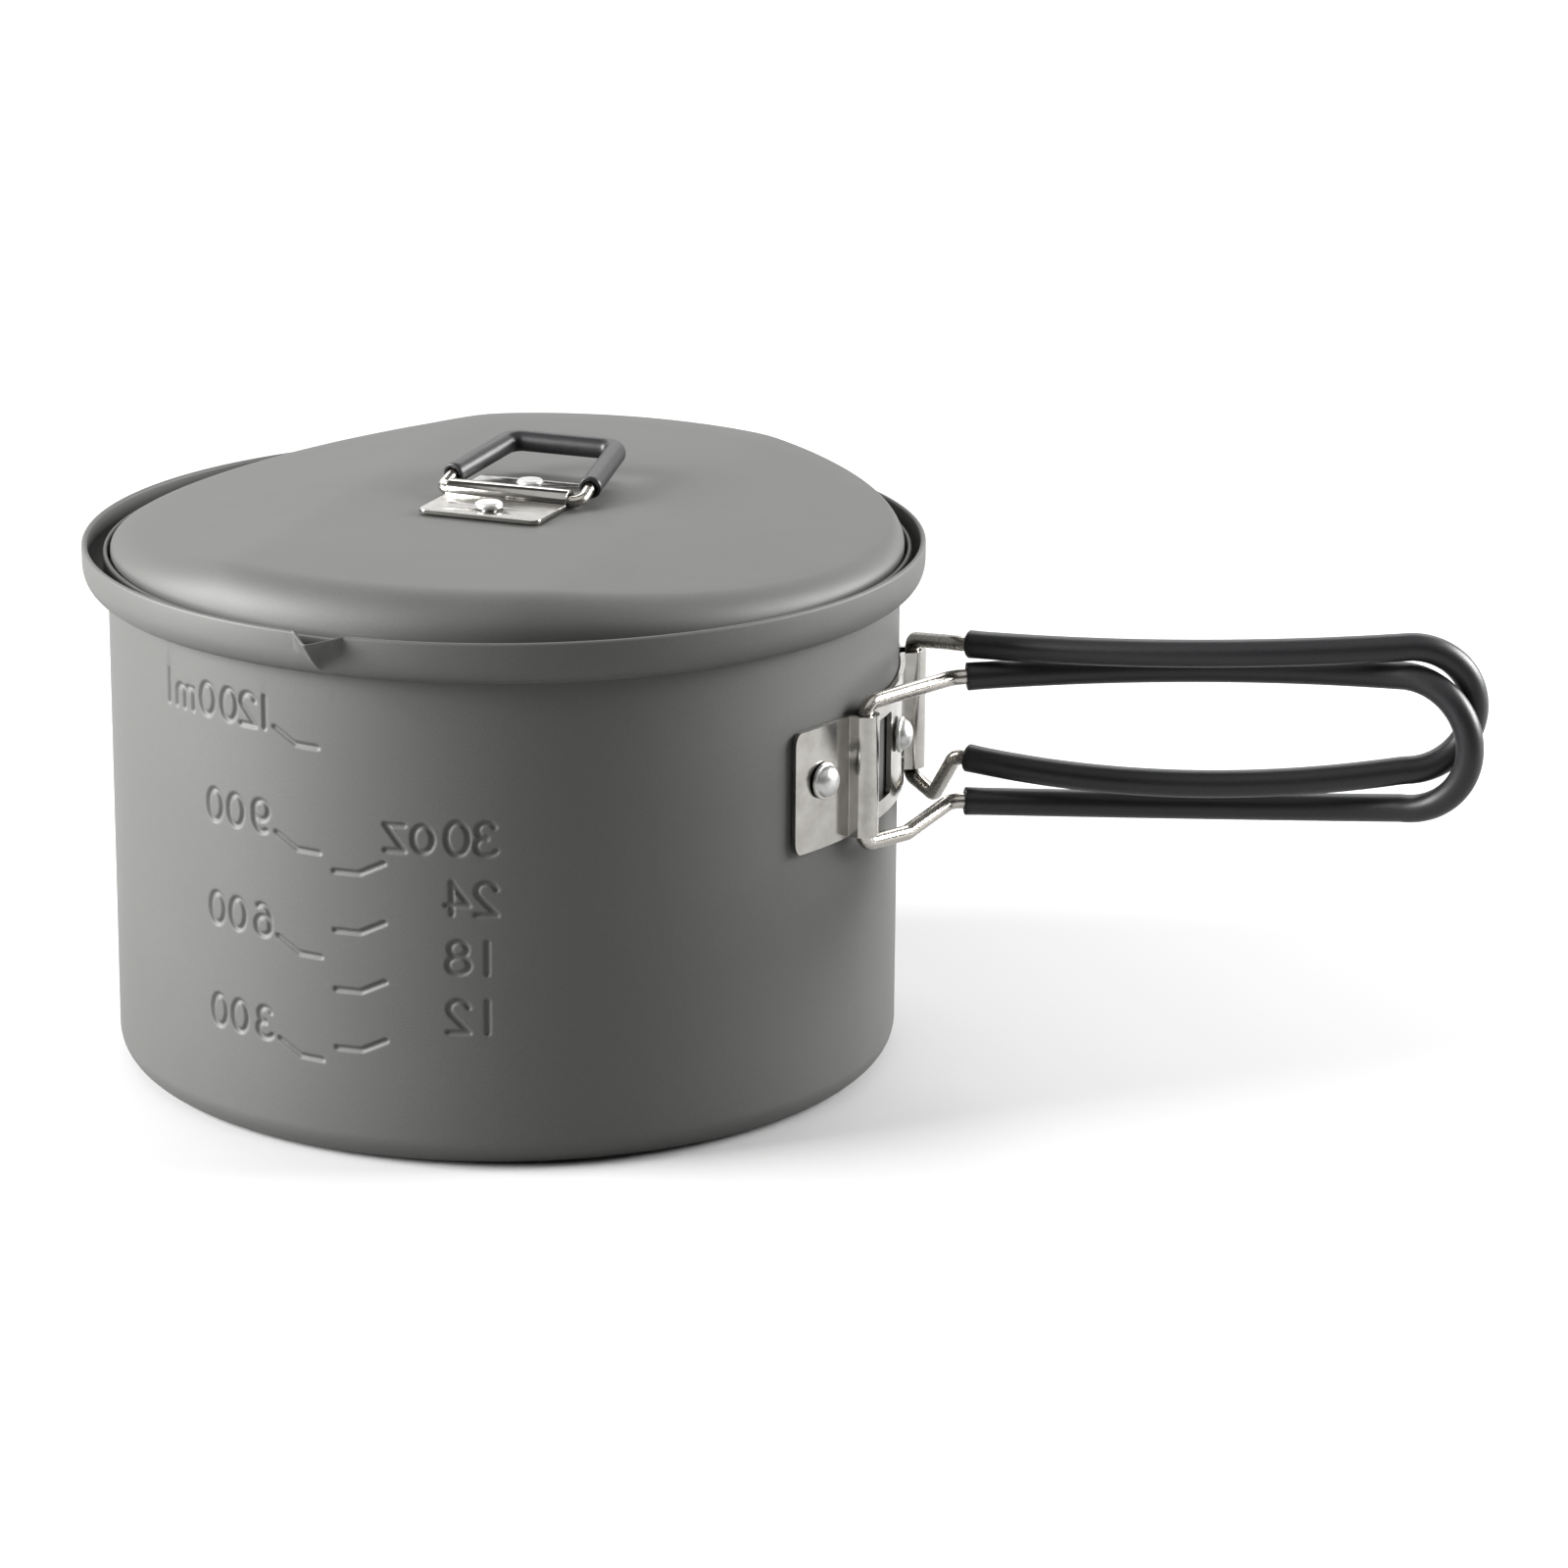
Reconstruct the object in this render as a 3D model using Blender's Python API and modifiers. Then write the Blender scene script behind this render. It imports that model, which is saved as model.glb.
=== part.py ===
"""Camping pot with lid: hard-anodised pot, roof-shaped lid with a folding bail, and two folding
wire handles in a pressed bracket.

Frame: +Z up, origin at the middle of the flat bottom, +X along the open handles. Metres.
"""
from math import asin, atan2, cos, degrees, hypot, pi, radians, sin, sqrt, tan

import bmesh
import bpy
from mathutils import Matrix, Vector

NAME = "cooking_pot_set"
GAP = 0.0003                     # left between pieces that touch on the real pot

# Pot
WALL_R = 0.0720                  # outer radius of the straight wall
SHEET = 0.0010                   # aluminium sheet of the pot and the lid
BOTTOM_CORNER_R = 0.0053
CREASE_Z = 0.0886                # top of the straight wall, where the rim bead starts
BEAD_Z = 0.0935                  # where the bead turns upright
RIM_Z = 0.0966                   # top edge
RIM_R = 0.0766
BEAD_POWER = 2.4                 # superellipse power of the bead's section
POT_STEPS = 66                   # turned steps outside the lip
LIP_STEPS = 10

# Pouring lip, pressed out of the rim
LIP_AZIMUTH = -99.7              # degrees
LIP_HALF_ANGLE = 3.65
LIP_REACH = 0.0060
LIP_BOTTOM_Z = 0.0900

# Lid
LID_R = 0.0721                   # side wall, outside
LID_BAND_Z = 0.1031              # flat band between the folds
LID_EDGES_Z = (0.0970, 0.0984)   # top of the sloping facets at the left and right side
LID_FOLD_U = 0.0288              # folds on both sides of the middle
LID_TURN = -6.0                  # degrees from the handle's direction
LID_CENTRE = (0.0006, 0.0002)    # the lid lies a little off the pot's axis
LID_SHOULDER = 0.0080            # width of the rounded shoulder where it is widest, in front
LID_SIDE_SHARE = 0.62            # share of that width at the sides
LID_TIGHT_SHARE = 0.28           # share of it where the shoulder is tightest, at the rear right
LID_FRONT_AZIMUTH = -92.0
LID_FRONT_HALF_ANGLE = 85.0
LID_TIGHT_AZIMUTH = 62.0
LID_TIGHT_HALF_ANGLE = 62.0
HEM_R = 0.0734
HEM_TOP_Z = 0.0952
HEM_BOTTOM_Z = 0.0907
HEM_SHEET = 0.0008
HEM_SEAM = 0.0005
LID_STEPS = 64

# Lid bail and its plate, in the plate's own frame: u along the hinge, v towards the bail
PLATE_TURN = -9.0
PLATE_CENTRE = (0.0018, -0.0033)
PLATE_SHEET = 0.0008
PLATE_HALF_U = 0.01185
PLATE_HALF_V = 0.01475
PLATE_CORNER_R = 0.0018
LID_RIVET_V = 0.0092
LID_RIVET_HEAD_R = 0.0025
BAIL_WIRE_R = 0.00105
BAIL_SLEEVE_R = 0.0020
BAIL_FOOT = (0.0136, 0.0050, 0.00155)   # u, v and rise over the hinge, where the sleeve starts
BAIL_FAR = (0.0106, 0.0254, 0.0040)     # the far corners

# Handle bracket
BRACKET_LOW_Z = 0.0510
BRACKET_HIGH_Z = 0.0733
BRACKET_SHEET = 0.0009
BRACKET_HALF_ANGLE = 31.4
BRACKET_CORNER_R = 0.0026
CHANNEL_ANGLE = 17.2             # of the two upright channels
HINGE_R = 0.0749                 # from the pot's axis to the handle wires in the channels
RIVET_ANGLE = 25.7
RIVET_Z = 0.0635
RIVET_HEAD_R = 0.0033
RIVET_HEAD_H = 0.0025
RIVET_SHANK_R = 0.0015
WINDOW_LOW_Z = 0.0540
WINDOW_HIGH_Z = 0.0693
WINDOW_ANGLES = (3.9, 12.6)

# Handle loops: wire and vinyl sleeve
HANDLE_WIRE_R = 0.0014
HANDLE_SLEEVE_R = 0.0025
SLEEVE_WALL = 0.0008
BEND_X = 0.0836                  # where the straight legs meet the bowed grip
SLEEVE_X = 0.0859                # the sleeve's ends
HANDLE_END_X = 0.1767
BOW_X = 0.1285                   # the bow's furthest point
BOW_Y = 0.00515
BOW_WIDTH = 0.285                # larger is flatter
FRONT_LOOP = {
    "side": -1,
    "hinge_top_z": 0.0753, "hinge_low_z": 0.0493,
    "top_z": 0.0753, "top_rise": 0.0616,
    "low_z": 0.0517, "low_x": 0.104, "low_curve": 1.124,
    "crank": (0.0776, 0.0130, 0.0490),
}
REAR_LOOP = {
    "side": 1,
    "hinge_top_z": 0.0753, "hinge_low_z": 0.0493,
    "top_z": 0.0807, "top_rise": 0.0640,
    "low_z": 0.0589, "low_x": 0.108, "low_curve": 1.330,
    "crank": (0.0777, 0.0129, 0.0487),
}


# ---- helpers -------------------------------------------------------------------------------

def make_collection(name):
    collection = bpy.data.collections.new(name)
    bpy.context.scene.collection.children.link(collection)
    return collection


def make_material(name, colour, roughness, metallic):
    material = bpy.data.materials.new(name)
    material.use_nodes = True
    shader = material.node_tree.nodes["Principled BSDF"]
    shader.inputs["Base Color"].default_value = (*colour, 1.0)
    shader.inputs["Roughness"].default_value = roughness
    shader.inputs["Metallic"].default_value = metallic
    return material


def add_object(name, data, collection, material=None):
    piece = bpy.data.objects.new(name, data)
    collection.objects.link(piece)
    if material:
        data.materials.append(material)
    return piece


def bmesh_object(name, bm, collection, material=None, smooth=True):
    bmesh.ops.recalc_face_normals(bm, faces=bm.faces)
    mesh = bpy.data.meshes.new(name)
    bm.to_mesh(mesh)
    bm.free()
    if smooth:
        mesh.shade_smooth()
        mesh.set_sharp_from_angle(angle=radians(35))
    return add_object(name, mesh, collection, material)


def polar(radius, angle, z=0.0):
    """Point at an azimuth in degrees."""
    return Vector((radius * cos(radians(angle)), radius * sin(radians(angle)), z))


def arc(centre, radius, start, end, steps):
    """Points of an arc in a plane, angles in degrees."""
    angles = [radians(start + (end - start) * k / steps) for k in range(steps + 1)]
    return [(centre[0] + radius * cos(a), centre[1] + radius * sin(a)) for a in angles]


def round_corners(corners, steps=4):
    """Polyline with each corner (point, radius) replaced by an arc; radius 0 keeps the point."""
    points = []
    for index, (point, radius) in enumerate(corners):
        point = Vector(point)
        if radius == 0:
            points.append(point)
            continue
        back = (Vector(corners[index - 1][0]) - point).normalized()
        ahead = (Vector(corners[index + 1][0]) - point).normalized()
        half = back.angle(ahead) / 2
        middle = (back + ahead).normalized() * radius / sin(half)
        first = back * radius / tan(half) - middle
        last = ahead * radius / tan(half) - middle
        for k in range(steps + 1):
            spoke = first.lerp(last, k / steps).normalized() * radius
            points.append(point + middle + spoke)
    return points


def wire_curve(name, points, radius, caps, sides_setting=2):
    curve = bpy.data.curves.new(name, "CURVE")
    curve.dimensions = "3D"
    curve.bevel_depth = radius
    curve.bevel_resolution = sides_setting
    curve.use_fill_caps = caps
    spline = curve.splines.new("POLY")
    spline.points.add(len(points) - 1)
    for target, point in zip(spline.points, points):
        target.co = (*point, 1.0)
        target.radius = 1.0
    return curve


def add_wire(name, points, radius, collection, material):
    return add_object(name, wire_curve(name, points, radius, caps=True), collection, material)


def add_sleeve(name, points, radius, wall, collection, material):
    """Tube with an open bore: the swept skin as a mesh, thickened inwards."""
    source = bpy.data.objects.new(name + "_path", wire_curve(name, points, radius, caps=False))
    collection.objects.link(source)
    bpy.context.view_layer.update()
    evaluated = source.evaluated_get(bpy.context.evaluated_depsgraph_get())
    mesh = bpy.data.meshes.new_from_object(evaluated)
    mesh.name = name
    bm = bmesh.new()
    bm.from_mesh(mesh)
    bmesh.ops.remove_doubles(bm, verts=bm.verts, dist=0.000001)
    bmesh.ops.recalc_face_normals(bm, faces=bm.faces)
    bm.to_mesh(mesh)
    bm.free()
    mesh.shade_smooth()
    sleeve = add_object(name, mesh, collection, material)
    sleeve.matrix_world = source.matrix_world
    bpy.data.objects.remove(source)
    shell = sleeve.modifiers.new("wall", "SOLIDIFY")
    shell.thickness = wall
    shell.offset = -1
    return sleeve


def spin_profile(profile, start, sectors):
    """Turn a section (r, z) about Z from a start azimuth; sectors are (degrees, steps)."""
    bm = bmesh.new()
    verts = [bm.verts.new(polar(r, start, z)) for r, z in profile]
    edges = [bm.edges.new(pair) for pair in zip(verts, verts[1:])]
    section = verts + edges
    for sweep, steps in sectors:
        turned = bmesh.ops.spin(bm, geom=section, cent=(0, 0, 0), axis=(0, 0, 1),
                                angle=radians(sweep), steps=steps)
        section = turned["geom_last"]
    bmesh.ops.remove_doubles(bm, verts=bm.verts, dist=0.000002)
    return bm


def cylinder_cutter(name, radius, start, end, collection):
    """Cutter for a round hole from one point to another."""
    start, end = Vector(start), Vector(end)
    bm = bmesh.new()
    bmesh.ops.create_cone(bm, cap_ends=True, segments=16, radius1=radius, radius2=radius,
                          depth=(end - start).length)
    turn = (end - start).to_track_quat("Z", "Y").to_matrix().to_4x4()
    bmesh.ops.transform(bm, matrix=Matrix.Translation((start + end) / 2) @ turn, verts=bm.verts)
    return finish_cutter(bmesh_object(name, bm, collection, smooth=False))


def finish_cutter(cutter):
    cutter.hide_render = True
    cutter.display_type = "WIRE"
    return cutter


def cut(piece, cutters):
    for cutter in cutters:
        modifier = piece.modifiers.new("cut_" + cutter.name, "BOOLEAN")
        modifier.operation = "DIFFERENCE"
        modifier.object = cutter


def add_hinge(name, location, collection):
    """Empty on a joint axis, which the moving pieces hang from."""
    hinge = bpy.data.objects.new(name, None)
    hinge.location = location
    hinge.empty_display_size = 0.01
    collection.objects.link(hinge)
    bpy.context.view_layer.update()
    return hinge


def hang(hinge, *pieces):
    for piece in pieces:
        piece.parent = hinge
        piece.matrix_parent_inverse = hinge.matrix_world.inverted()


# ---- pot -----------------------------------------------------------------------------------

def bead(base_r, base_z, reach, rise, steps):
    """Section of the rounded bead, from the wall out and up to upright."""
    points = []
    for k in range(1, steps + 1):
        angle = pi / 2 * k / steps
        out = sin(angle) ** (2 / BEAD_POWER)
        up = 1 - max(cos(angle), 0.0) ** (2 / BEAD_POWER)
        points.append((base_r + reach * out, base_z + rise * up))
    return points


def pot_section():
    """Closed section from the inside of the bottom, over the rim, to the outside of the bottom."""
    inner_r = WALL_R - SHEET
    centre = (WALL_R - BOTTOM_CORNER_R, BOTTOM_CORNER_R)
    inner_bead_z = CREASE_Z + SHEET
    section = [(0, SHEET)]
    section += arc(centre, BOTTOM_CORNER_R - SHEET, -90, 0, 3)
    section.append((inner_r, inner_bead_z))
    section += bead(inner_r, inner_bead_z, RIM_R - WALL_R, BEAD_Z - CREASE_Z, 4)
    section += [(RIM_R - SHEET, RIM_Z - 0.0002), (RIM_R - 0.8 * SHEET, RIM_Z)]
    section += [(RIM_R - 0.2 * SHEET, RIM_Z), (RIM_R, RIM_Z - 0.0002)]
    outer_bead = [(WALL_R, CREASE_Z)] + bead(WALL_R, CREASE_Z, RIM_R - WALL_R,
                                             BEAD_Z - CREASE_Z, 4)
    section += reversed(outer_bead)
    section += reversed(arc(centre, BOTTOM_CORNER_R, -90, 0, 3))
    section.append((0, 0))
    return section


def press_lip(bm):
    """Push the rim out into a V that narrows to a point above the wall."""
    for vert in bm.verts:
        height = (vert.co.z - LIP_BOTTOM_Z) / (RIM_Z - LIP_BOTTOM_Z)
        if height <= 0:
            continue
        azimuth = degrees(atan2(vert.co.y, vert.co.x))
        across = abs(azimuth - LIP_AZIMUTH) / (LIP_HALF_ANGLE * height)
        if across < 1:
            push = LIP_REACH * height * (1 - across)
            vert.co += polar(push, azimuth)


def make_pot_body(collection, material, holes):
    sectors = [(2 * LIP_HALF_ANGLE, LIP_STEPS), (360 - 2 * LIP_HALF_ANGLE, POT_STEPS)]
    bm = spin_profile(pot_section(), LIP_AZIMUTH - LIP_HALF_ANGLE, sectors)
    press_lip(bm)
    pot = bmesh_object("pot_body", bm, collection, material)
    cut(pot, holes)
    return pot


# ---- lid -----------------------------------------------------------------------------------

def lid_section():
    """Closed section of the lid as if it were flat-topped at the band's height."""
    inner_r = LID_R - SHEET
    drop = LID_BAND_Z - HEM_TOP_Z
    section = [(0, LID_BAND_Z)]
    for step in range(6):
        angle = pi / 2 * step / 5
        section.append((LID_R - LID_SHOULDER * (1 - sin(angle)), HEM_TOP_Z + drop * cos(angle)))
    seam_z = HEM_BOTTOM_Z + HEM_SHEET
    section += [(LID_R, seam_z), (LID_R + HEM_SEAM, seam_z), (LID_R + HEM_SEAM, HEM_TOP_Z)]
    section += [(HEM_R, HEM_TOP_Z), (HEM_R, seam_z), (HEM_R - 0.0005, HEM_BOTTOM_Z)]
    section += [(inner_r + 0.0003, HEM_BOTTOM_Z), (inner_r, seam_z)]
    for step in range(5):
        angle = pi / 2 * (1 - step / 4)
        radius = inner_r - (LID_SHOULDER - SHEET) * (1 - sin(angle))
        section.append((radius, HEM_TOP_Z - SHEET + drop * cos(angle)))
    section.append((0, LID_BAND_Z - SHEET))
    return section


def lid_height(u):
    """Height of the top above the hem: the flat band, then a facet down to the side."""
    edge_z = LID_EDGES_Z[u > 0]
    slope = (LID_BAND_Z - edge_z) / (LID_R - LID_FOLD_U)
    return LID_BAND_Z - HEM_TOP_Z - slope * max(0.0, abs(u) - LID_FOLD_U)


def shoulder_share(azimuth):
    """Share of the full shoulder width at an azimuth."""
    front = min(1.0, abs(azimuth - LID_FRONT_AZIMUTH) / LID_FRONT_HALF_ANGLE)
    tight = min(1.0, abs(azimuth - LID_TIGHT_AZIMUTH) / LID_TIGHT_HALF_ANGLE)
    wider = (1 - LID_SIDE_SHARE) * (1 - front ** 2) ** 2
    tighter = (LID_SIDE_SHARE - LID_TIGHT_SHARE) * (1 - tight ** 4)
    return LID_SIDE_SHARE + wider - tighter


def tighten_shoulder(bm):
    for vert in bm.verts:
        radius = hypot(vert.co.x, vert.co.y)
        on_shoulder = radius > LID_R - LID_SHOULDER - 0.0001 and vert.co.z > HEM_TOP_Z - SHEET
        if on_shoulder and radius < LID_R + 0.0001:
            inside = vert.normal.z < 0 or vert.normal.xy.dot(vert.co.xy) < 0
            edge = LID_R - SHEET if inside else LID_R
            azimuth = degrees(atan2(vert.co.y, vert.co.x))
            share = shoulder_share(azimuth)
            vert.co.xy *= (edge - (edge - radius) * share) / radius


def shape_roof(bm):
    """Fold the flat top down on both sides, squeezing the shoulder with it."""
    for side in (-1, 1):
        bmesh.ops.bisect_plane(bm, geom=bm.verts[:] + bm.edges[:] + bm.faces[:],
                               plane_co=(side * LID_FOLD_U, 0, 0), plane_no=(1, 0, 0))
    full = LID_BAND_Z - HEM_TOP_Z
    inner_r = LID_R - SHEET
    for vert in bm.verts:
        radius = hypot(vert.co.x, vert.co.y)
        inside = vert.normal.z < 0 or abs(radius - inner_r) < 0.0001
        skin = SHEET if inside else 0.0
        above = vert.co.z + skin - HEM_TOP_Z
        if above > 0 and radius < LID_R + 0.0001:
            vert.co.z -= above * (1 - lid_height(vert.co.x) / full)


def make_lid(collection, material, holes):
    bm = spin_profile(lid_section(), 0, [(360, LID_STEPS)])
    bmesh.ops.recalc_face_normals(bm, faces=bm.faces)
    bm.normal_update()
    tighten_shoulder(bm)
    shape_roof(bm)
    place = Matrix.Translation((*LID_CENTRE, 0)) @ Matrix.Rotation(radians(LID_TURN), 4, "Z")
    bmesh.ops.transform(bm, matrix=place, verts=bm.verts)
    lid = bmesh_object("lid", bm, collection, material)
    cut(lid, holes)
    return lid


# ---- lid bail ------------------------------------------------------------------------------

def plate_frame():
    """World matrix of the hinge plate's frame, on the lid's flat band."""
    return Matrix.Translation((*PLATE_CENTRE, LID_BAND_Z)) @ Matrix.Rotation(
        radians(PLATE_TURN), 4, "Z")


def hinge_height():
    """Bail wire's axis above the lid."""
    return BAIL_WIRE_R + GAP


def strip(path, low, high, corner_radius):
    """Open strip: a plan path (x, y) raised from low to high, with rounded outer corners."""
    bm = bmesh.new()
    rows = [[bm.verts.new((x, y, z)) for x, y in path] for z in (low, high)]
    for k in range(len(path) - 1):
        bm.faces.new((rows[0][k], rows[0][k + 1], rows[1][k + 1], rows[1][k]))
    ends = [row[k] for row in rows for k in (0, -1)]
    bmesh.ops.bevel(bm, geom=ends, offset=corner_radius, segments=4, profile=0.5,
                    affect="VERTICES")
    return bm


def hinge_plate_path():
    """Section of the plate across the hinge: flange, barrel over the wire, flange."""
    barrel_r = BAIL_WIRE_R + GAP + PLATE_SHEET / 2
    flange = GAP + PLATE_SHEET / 2 - hinge_height()
    foot = sqrt(barrel_r ** 2 - flange ** 2)
    start = degrees(atan2(flange, -foot)) % 360
    path = [(-PLATE_HALF_V, flange)]
    path += [(-foot - 0.0004, flange)]
    path += arc((0, 0), barrel_r, start - 12, 180 - start + 12, 8)
    path += [(foot + 0.0004, flange)]
    path += [(PLATE_HALF_V, flange)]
    return path


def make_hinge_plate(collection, material, holes):
    bm = strip(hinge_plate_path(), -PLATE_HALF_U, PLATE_HALF_U, PLATE_CORNER_R)
    upright = Matrix(((0, 0, 1, 0), (1, 0, 0, 0), (0, 1, 0, hinge_height()), (0, 0, 0, 1)))
    bmesh.ops.transform(bm, matrix=plate_frame() @ upright, verts=bm.verts)
    plate = bmesh_object("lid_hinge_plate", bm, collection, material)
    shell = plate.modifiers.new("sheet", "SOLIDIFY")
    shell.thickness = PLATE_SHEET
    shell.offset = 0
    shell.use_even_offset = True
    cut(plate, holes)
    return plate


def bail_points():
    """Wire's centre line in the plate's frame, from one end in the barrel to the other."""
    level = hinge_height()
    half = [((0.0020, 0, level), 0),
            ((BAIL_FOOT[0] + 0.0003, 0, level), 0.0020),
            ((BAIL_FOOT[0], BAIL_FOOT[1], level + BAIL_FOOT[2]), 0),
            ((BAIL_FAR[0], BAIL_FAR[1], level + BAIL_FAR[2]), 0.0032)]
    mirrored = [((-x, y, z), radius) for (x, y, z), radius in reversed(half)]
    return [plate_frame() @ point for point in round_corners(half + mirrored)]


def make_bail(collection, steel, vinyl):
    points = bail_points()
    wire = add_wire("lid_handle_wire", points, BAIL_WIRE_R, collection, steel)
    foot = 1 + 5 + 1             # the end, the first bend, and the foot of the sleeve
    grip = points[foot - 1:len(points) - foot + 1]
    sleeve = add_sleeve("lid_handle_sleeve", grip, BAIL_SLEEVE_R,
                        BAIL_SLEEVE_R - BAIL_WIRE_R - GAP, collection, vinyl)
    return wire, sleeve


# ---- rivets --------------------------------------------------------------------------------

def rivet_section(head_r, head_h, grip, tail_r, tail_h):
    """Half section about the shank: domed head, shank, flat tail. The head's seat is at 0."""
    edge = head_h * 0.35
    dome = head_h - edge
    section = [(head_r * sin(radians(a)), edge + dome * cos(radians(a))) for a in (0, 30, 60, 90)]
    section += [(head_r, 0), (RIVET_SHANK_R, 0), (RIVET_SHANK_R, -grip)]
    section += [(tail_r, -grip), (tail_r * 0.85, -grip - tail_h), (0, -grip - tail_h)]
    return section


def add_rivet(name, section, seat, direction, collection, material):
    """Turned rivet whose head sits at a point and looks along a direction."""
    mesh = bpy.data.meshes.new(name)
    verts = [(r, 0, z) for r, z in section]
    mesh.from_pydata(verts, [(k, k + 1) for k in range(len(verts) - 1)], [])
    rivet = add_object(name, mesh, collection, material)
    rivet.location = seat
    rivet.rotation_euler = Vector(direction).to_track_quat("Z", "Y").to_euler()
    screw = rivet.modifiers.new("turn", "SCREW")
    screw.steps = 16
    screw.render_steps = 16
    screw.use_merge_vertices = True
    screw.merge_threshold = 0.00001
    screw.use_smooth_shade = True
    return rivet


def make_lid_rivets(collection, material):
    frame = plate_frame()
    seat_z = GAP + PLATE_SHEET + GAP
    grip = seat_z + SHEET + GAP
    section = rivet_section(LID_RIVET_HEAD_R, 0.0010, grip, 0.0024, 0.0006)
    rivets = []
    for name, v in (("lid_rivet_front", -LID_RIVET_V), ("lid_rivet_rear", LID_RIVET_V)):
        seat = frame @ Vector((0, v, seat_z))
        rivets.append(add_rivet(name, section, seat, (0, 0, 1), collection, material))
    return rivets


def lid_rivet_holes(collection):
    frame = plate_frame()
    holes = []
    for name, v in (("front", -LID_RIVET_V), ("rear", LID_RIVET_V)):
        low = frame @ Vector((0, v, -3 * SHEET))
        high = frame @ Vector((0, v, 3 * SHEET))
        holes.append(cylinder_cutter(f"lid_hole_{name}", RIVET_SHANK_R + GAP, low, high,
                                     collection))
    return holes


def bracket_rivet_places():
    return (("front", -RIVET_ANGLE), ("centre", 0.0), ("rear", RIVET_ANGLE))


def make_bracket_rivets(collection, material):
    seat_r = WALL_R + GAP + BRACKET_SHEET + GAP
    tail_room = SHEET + GAP      # the flat tail also clears the wall's curve
    grip = seat_r - WALL_R + tail_room
    section = rivet_section(RIVET_HEAD_R, RIVET_HEAD_H, grip, 0.0030, 0.0010)
    rivets = []
    for name, angle in bracket_rivet_places():
        seat = polar(seat_r, angle, RIVET_Z)
        rivets.append(add_rivet(f"bracket_rivet_{name}", section, seat, polar(1, angle),
                                collection, material))
    return rivets


def bracket_rivet_holes(collection):
    holes = []
    for name, angle in bracket_rivet_places():
        start = polar(WALL_R - 4 * SHEET, angle, RIVET_Z)
        end = polar(WALL_R + 4 * SHEET, angle, RIVET_Z)
        holes.append(cylinder_cutter(f"wall_hole_{name}", RIVET_SHANK_R + GAP, start, end,
                                     collection))
    return holes


# ---- handle bracket ------------------------------------------------------------------------

def wall_arc(start, end, steps):
    radius = WALL_R + GAP + BRACKET_SHEET / 2
    return [polar(radius, start + (end - start) * k / steps).xy for k in range(steps + 1)]


def channel_path(angle):
    """Plan of one channel: up off the wall, round the wire and back to the wall."""
    bend_r = HANDLE_WIRE_R + GAP + BRACKET_SHEET / 2
    corner = 0.0005
    foot = WALL_R + GAP + BRACKET_SHEET / 2 - HINGE_R
    local = [(-bend_r - corner, foot), (-bend_r, foot + corner)]
    local += arc((0, 0), bend_r, 180, 0, 6)
    local += [(bend_r, foot + corner), (bend_r + corner, foot)]
    outward, along = polar(1, angle), polar(1, angle + 90)
    return [(outward * (HINGE_R + out) + along * side).xy for side, out in local]


def bracket_path():
    reach = degrees(asin((HANDLE_WIRE_R + GAP + BRACKET_SHEET + 0.0006) / WALL_R))
    path = wall_arc(-BRACKET_HALF_ANGLE, -CHANNEL_ANGLE - reach, 4)
    path += channel_path(-CHANNEL_ANGLE)
    path += wall_arc(-CHANNEL_ANGLE + reach, CHANNEL_ANGLE - reach, 8)
    path += channel_path(CHANNEL_ANGLE)
    path += wall_arc(CHANNEL_ANGLE + reach, BRACKET_HALF_ANGLE, 4)
    return path


def window_cutter(name, side, collection):
    """Wedge that looks out from the pot's axis, with its upright edges rounded off."""
    near, far = (side * angle for angle in WINDOW_ANGLES)
    bm = bmesh.new()
    rows = []
    for z in (WINDOW_LOW_Z, WINDOW_HIGH_Z):
        outline = [polar(WALL_R - SHEET, near, z), polar(WALL_R - SHEET, far, z),
                   polar(WALL_R + 4 * SHEET, far, z), polar(WALL_R + 4 * SHEET, near, z)]
        rows.append([bm.verts.new(point) for point in outline])
    bm.faces.new(rows[0])
    bm.faces.new(rows[1])
    for k in range(4):
        following = (k + 1) % 4
        bm.faces.new((rows[0][k], rows[0][following], rows[1][following], rows[1][k]))
    radial = [edge for edge in bm.edges
              if abs(edge.verts[0].co.xy.length - edge.verts[1].co.xy.length) > SHEET]
    bmesh.ops.bevel(bm, geom=radial, offset=0.0010, segments=2, profile=0.5, affect="EDGES")
    return finish_cutter(bmesh_object(name, bm, collection, smooth=False))


def make_bracket(collection, material, holes):
    bm = strip(bracket_path(), BRACKET_LOW_Z, BRACKET_HIGH_Z, BRACKET_CORNER_R)
    bracket = bmesh_object("handle_bracket", bm, collection, material)
    shell = bracket.modifiers.new("sheet", "SOLIDIFY")
    shell.thickness = BRACKET_SHEET
    shell.offset = 0
    shell.use_even_offset = True
    cut(bracket, holes)
    return bracket


# ---- handle loops --------------------------------------------------------------------------

def bow_y(x, side):
    """Plan of the bowed grip: each loop bows across to the other loop's side."""
    return -side * (BOW_Y - (x - BOW_X) ** 2 / BOW_WIDTH)


def grip_points(loop):
    """Centre line of the sleeved stretch, from the top leg round the end to the lower leg."""
    def top_z(x):
        return loop["top_z"] + loop["top_rise"] * (x - BEND_X)

    def low_z(x):
        return loop["low_z"] + loop["low_curve"] * (x - loop["low_x"]) ** 2

    end_x = HANDLE_END_X - 0.012
    radius = (top_z(end_x) - low_z(end_x)) / 2
    centre_x = HANDLE_END_X - radius
    centre_z = top_z(centre_x) - radius
    straights = [SLEEVE_X + (centre_x - SLEEVE_X) * k / 10 for k in range(10)]
    rows = [(x, top_z(x)) for x in straights]
    rows += arc((centre_x, centre_z), radius, 90, -90, 12)
    rows += [(x, low_z(x)) for x in reversed(straights)]
    return [Vector((x, bow_y(x, loop["side"]), z)) for x, z in rows]


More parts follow.
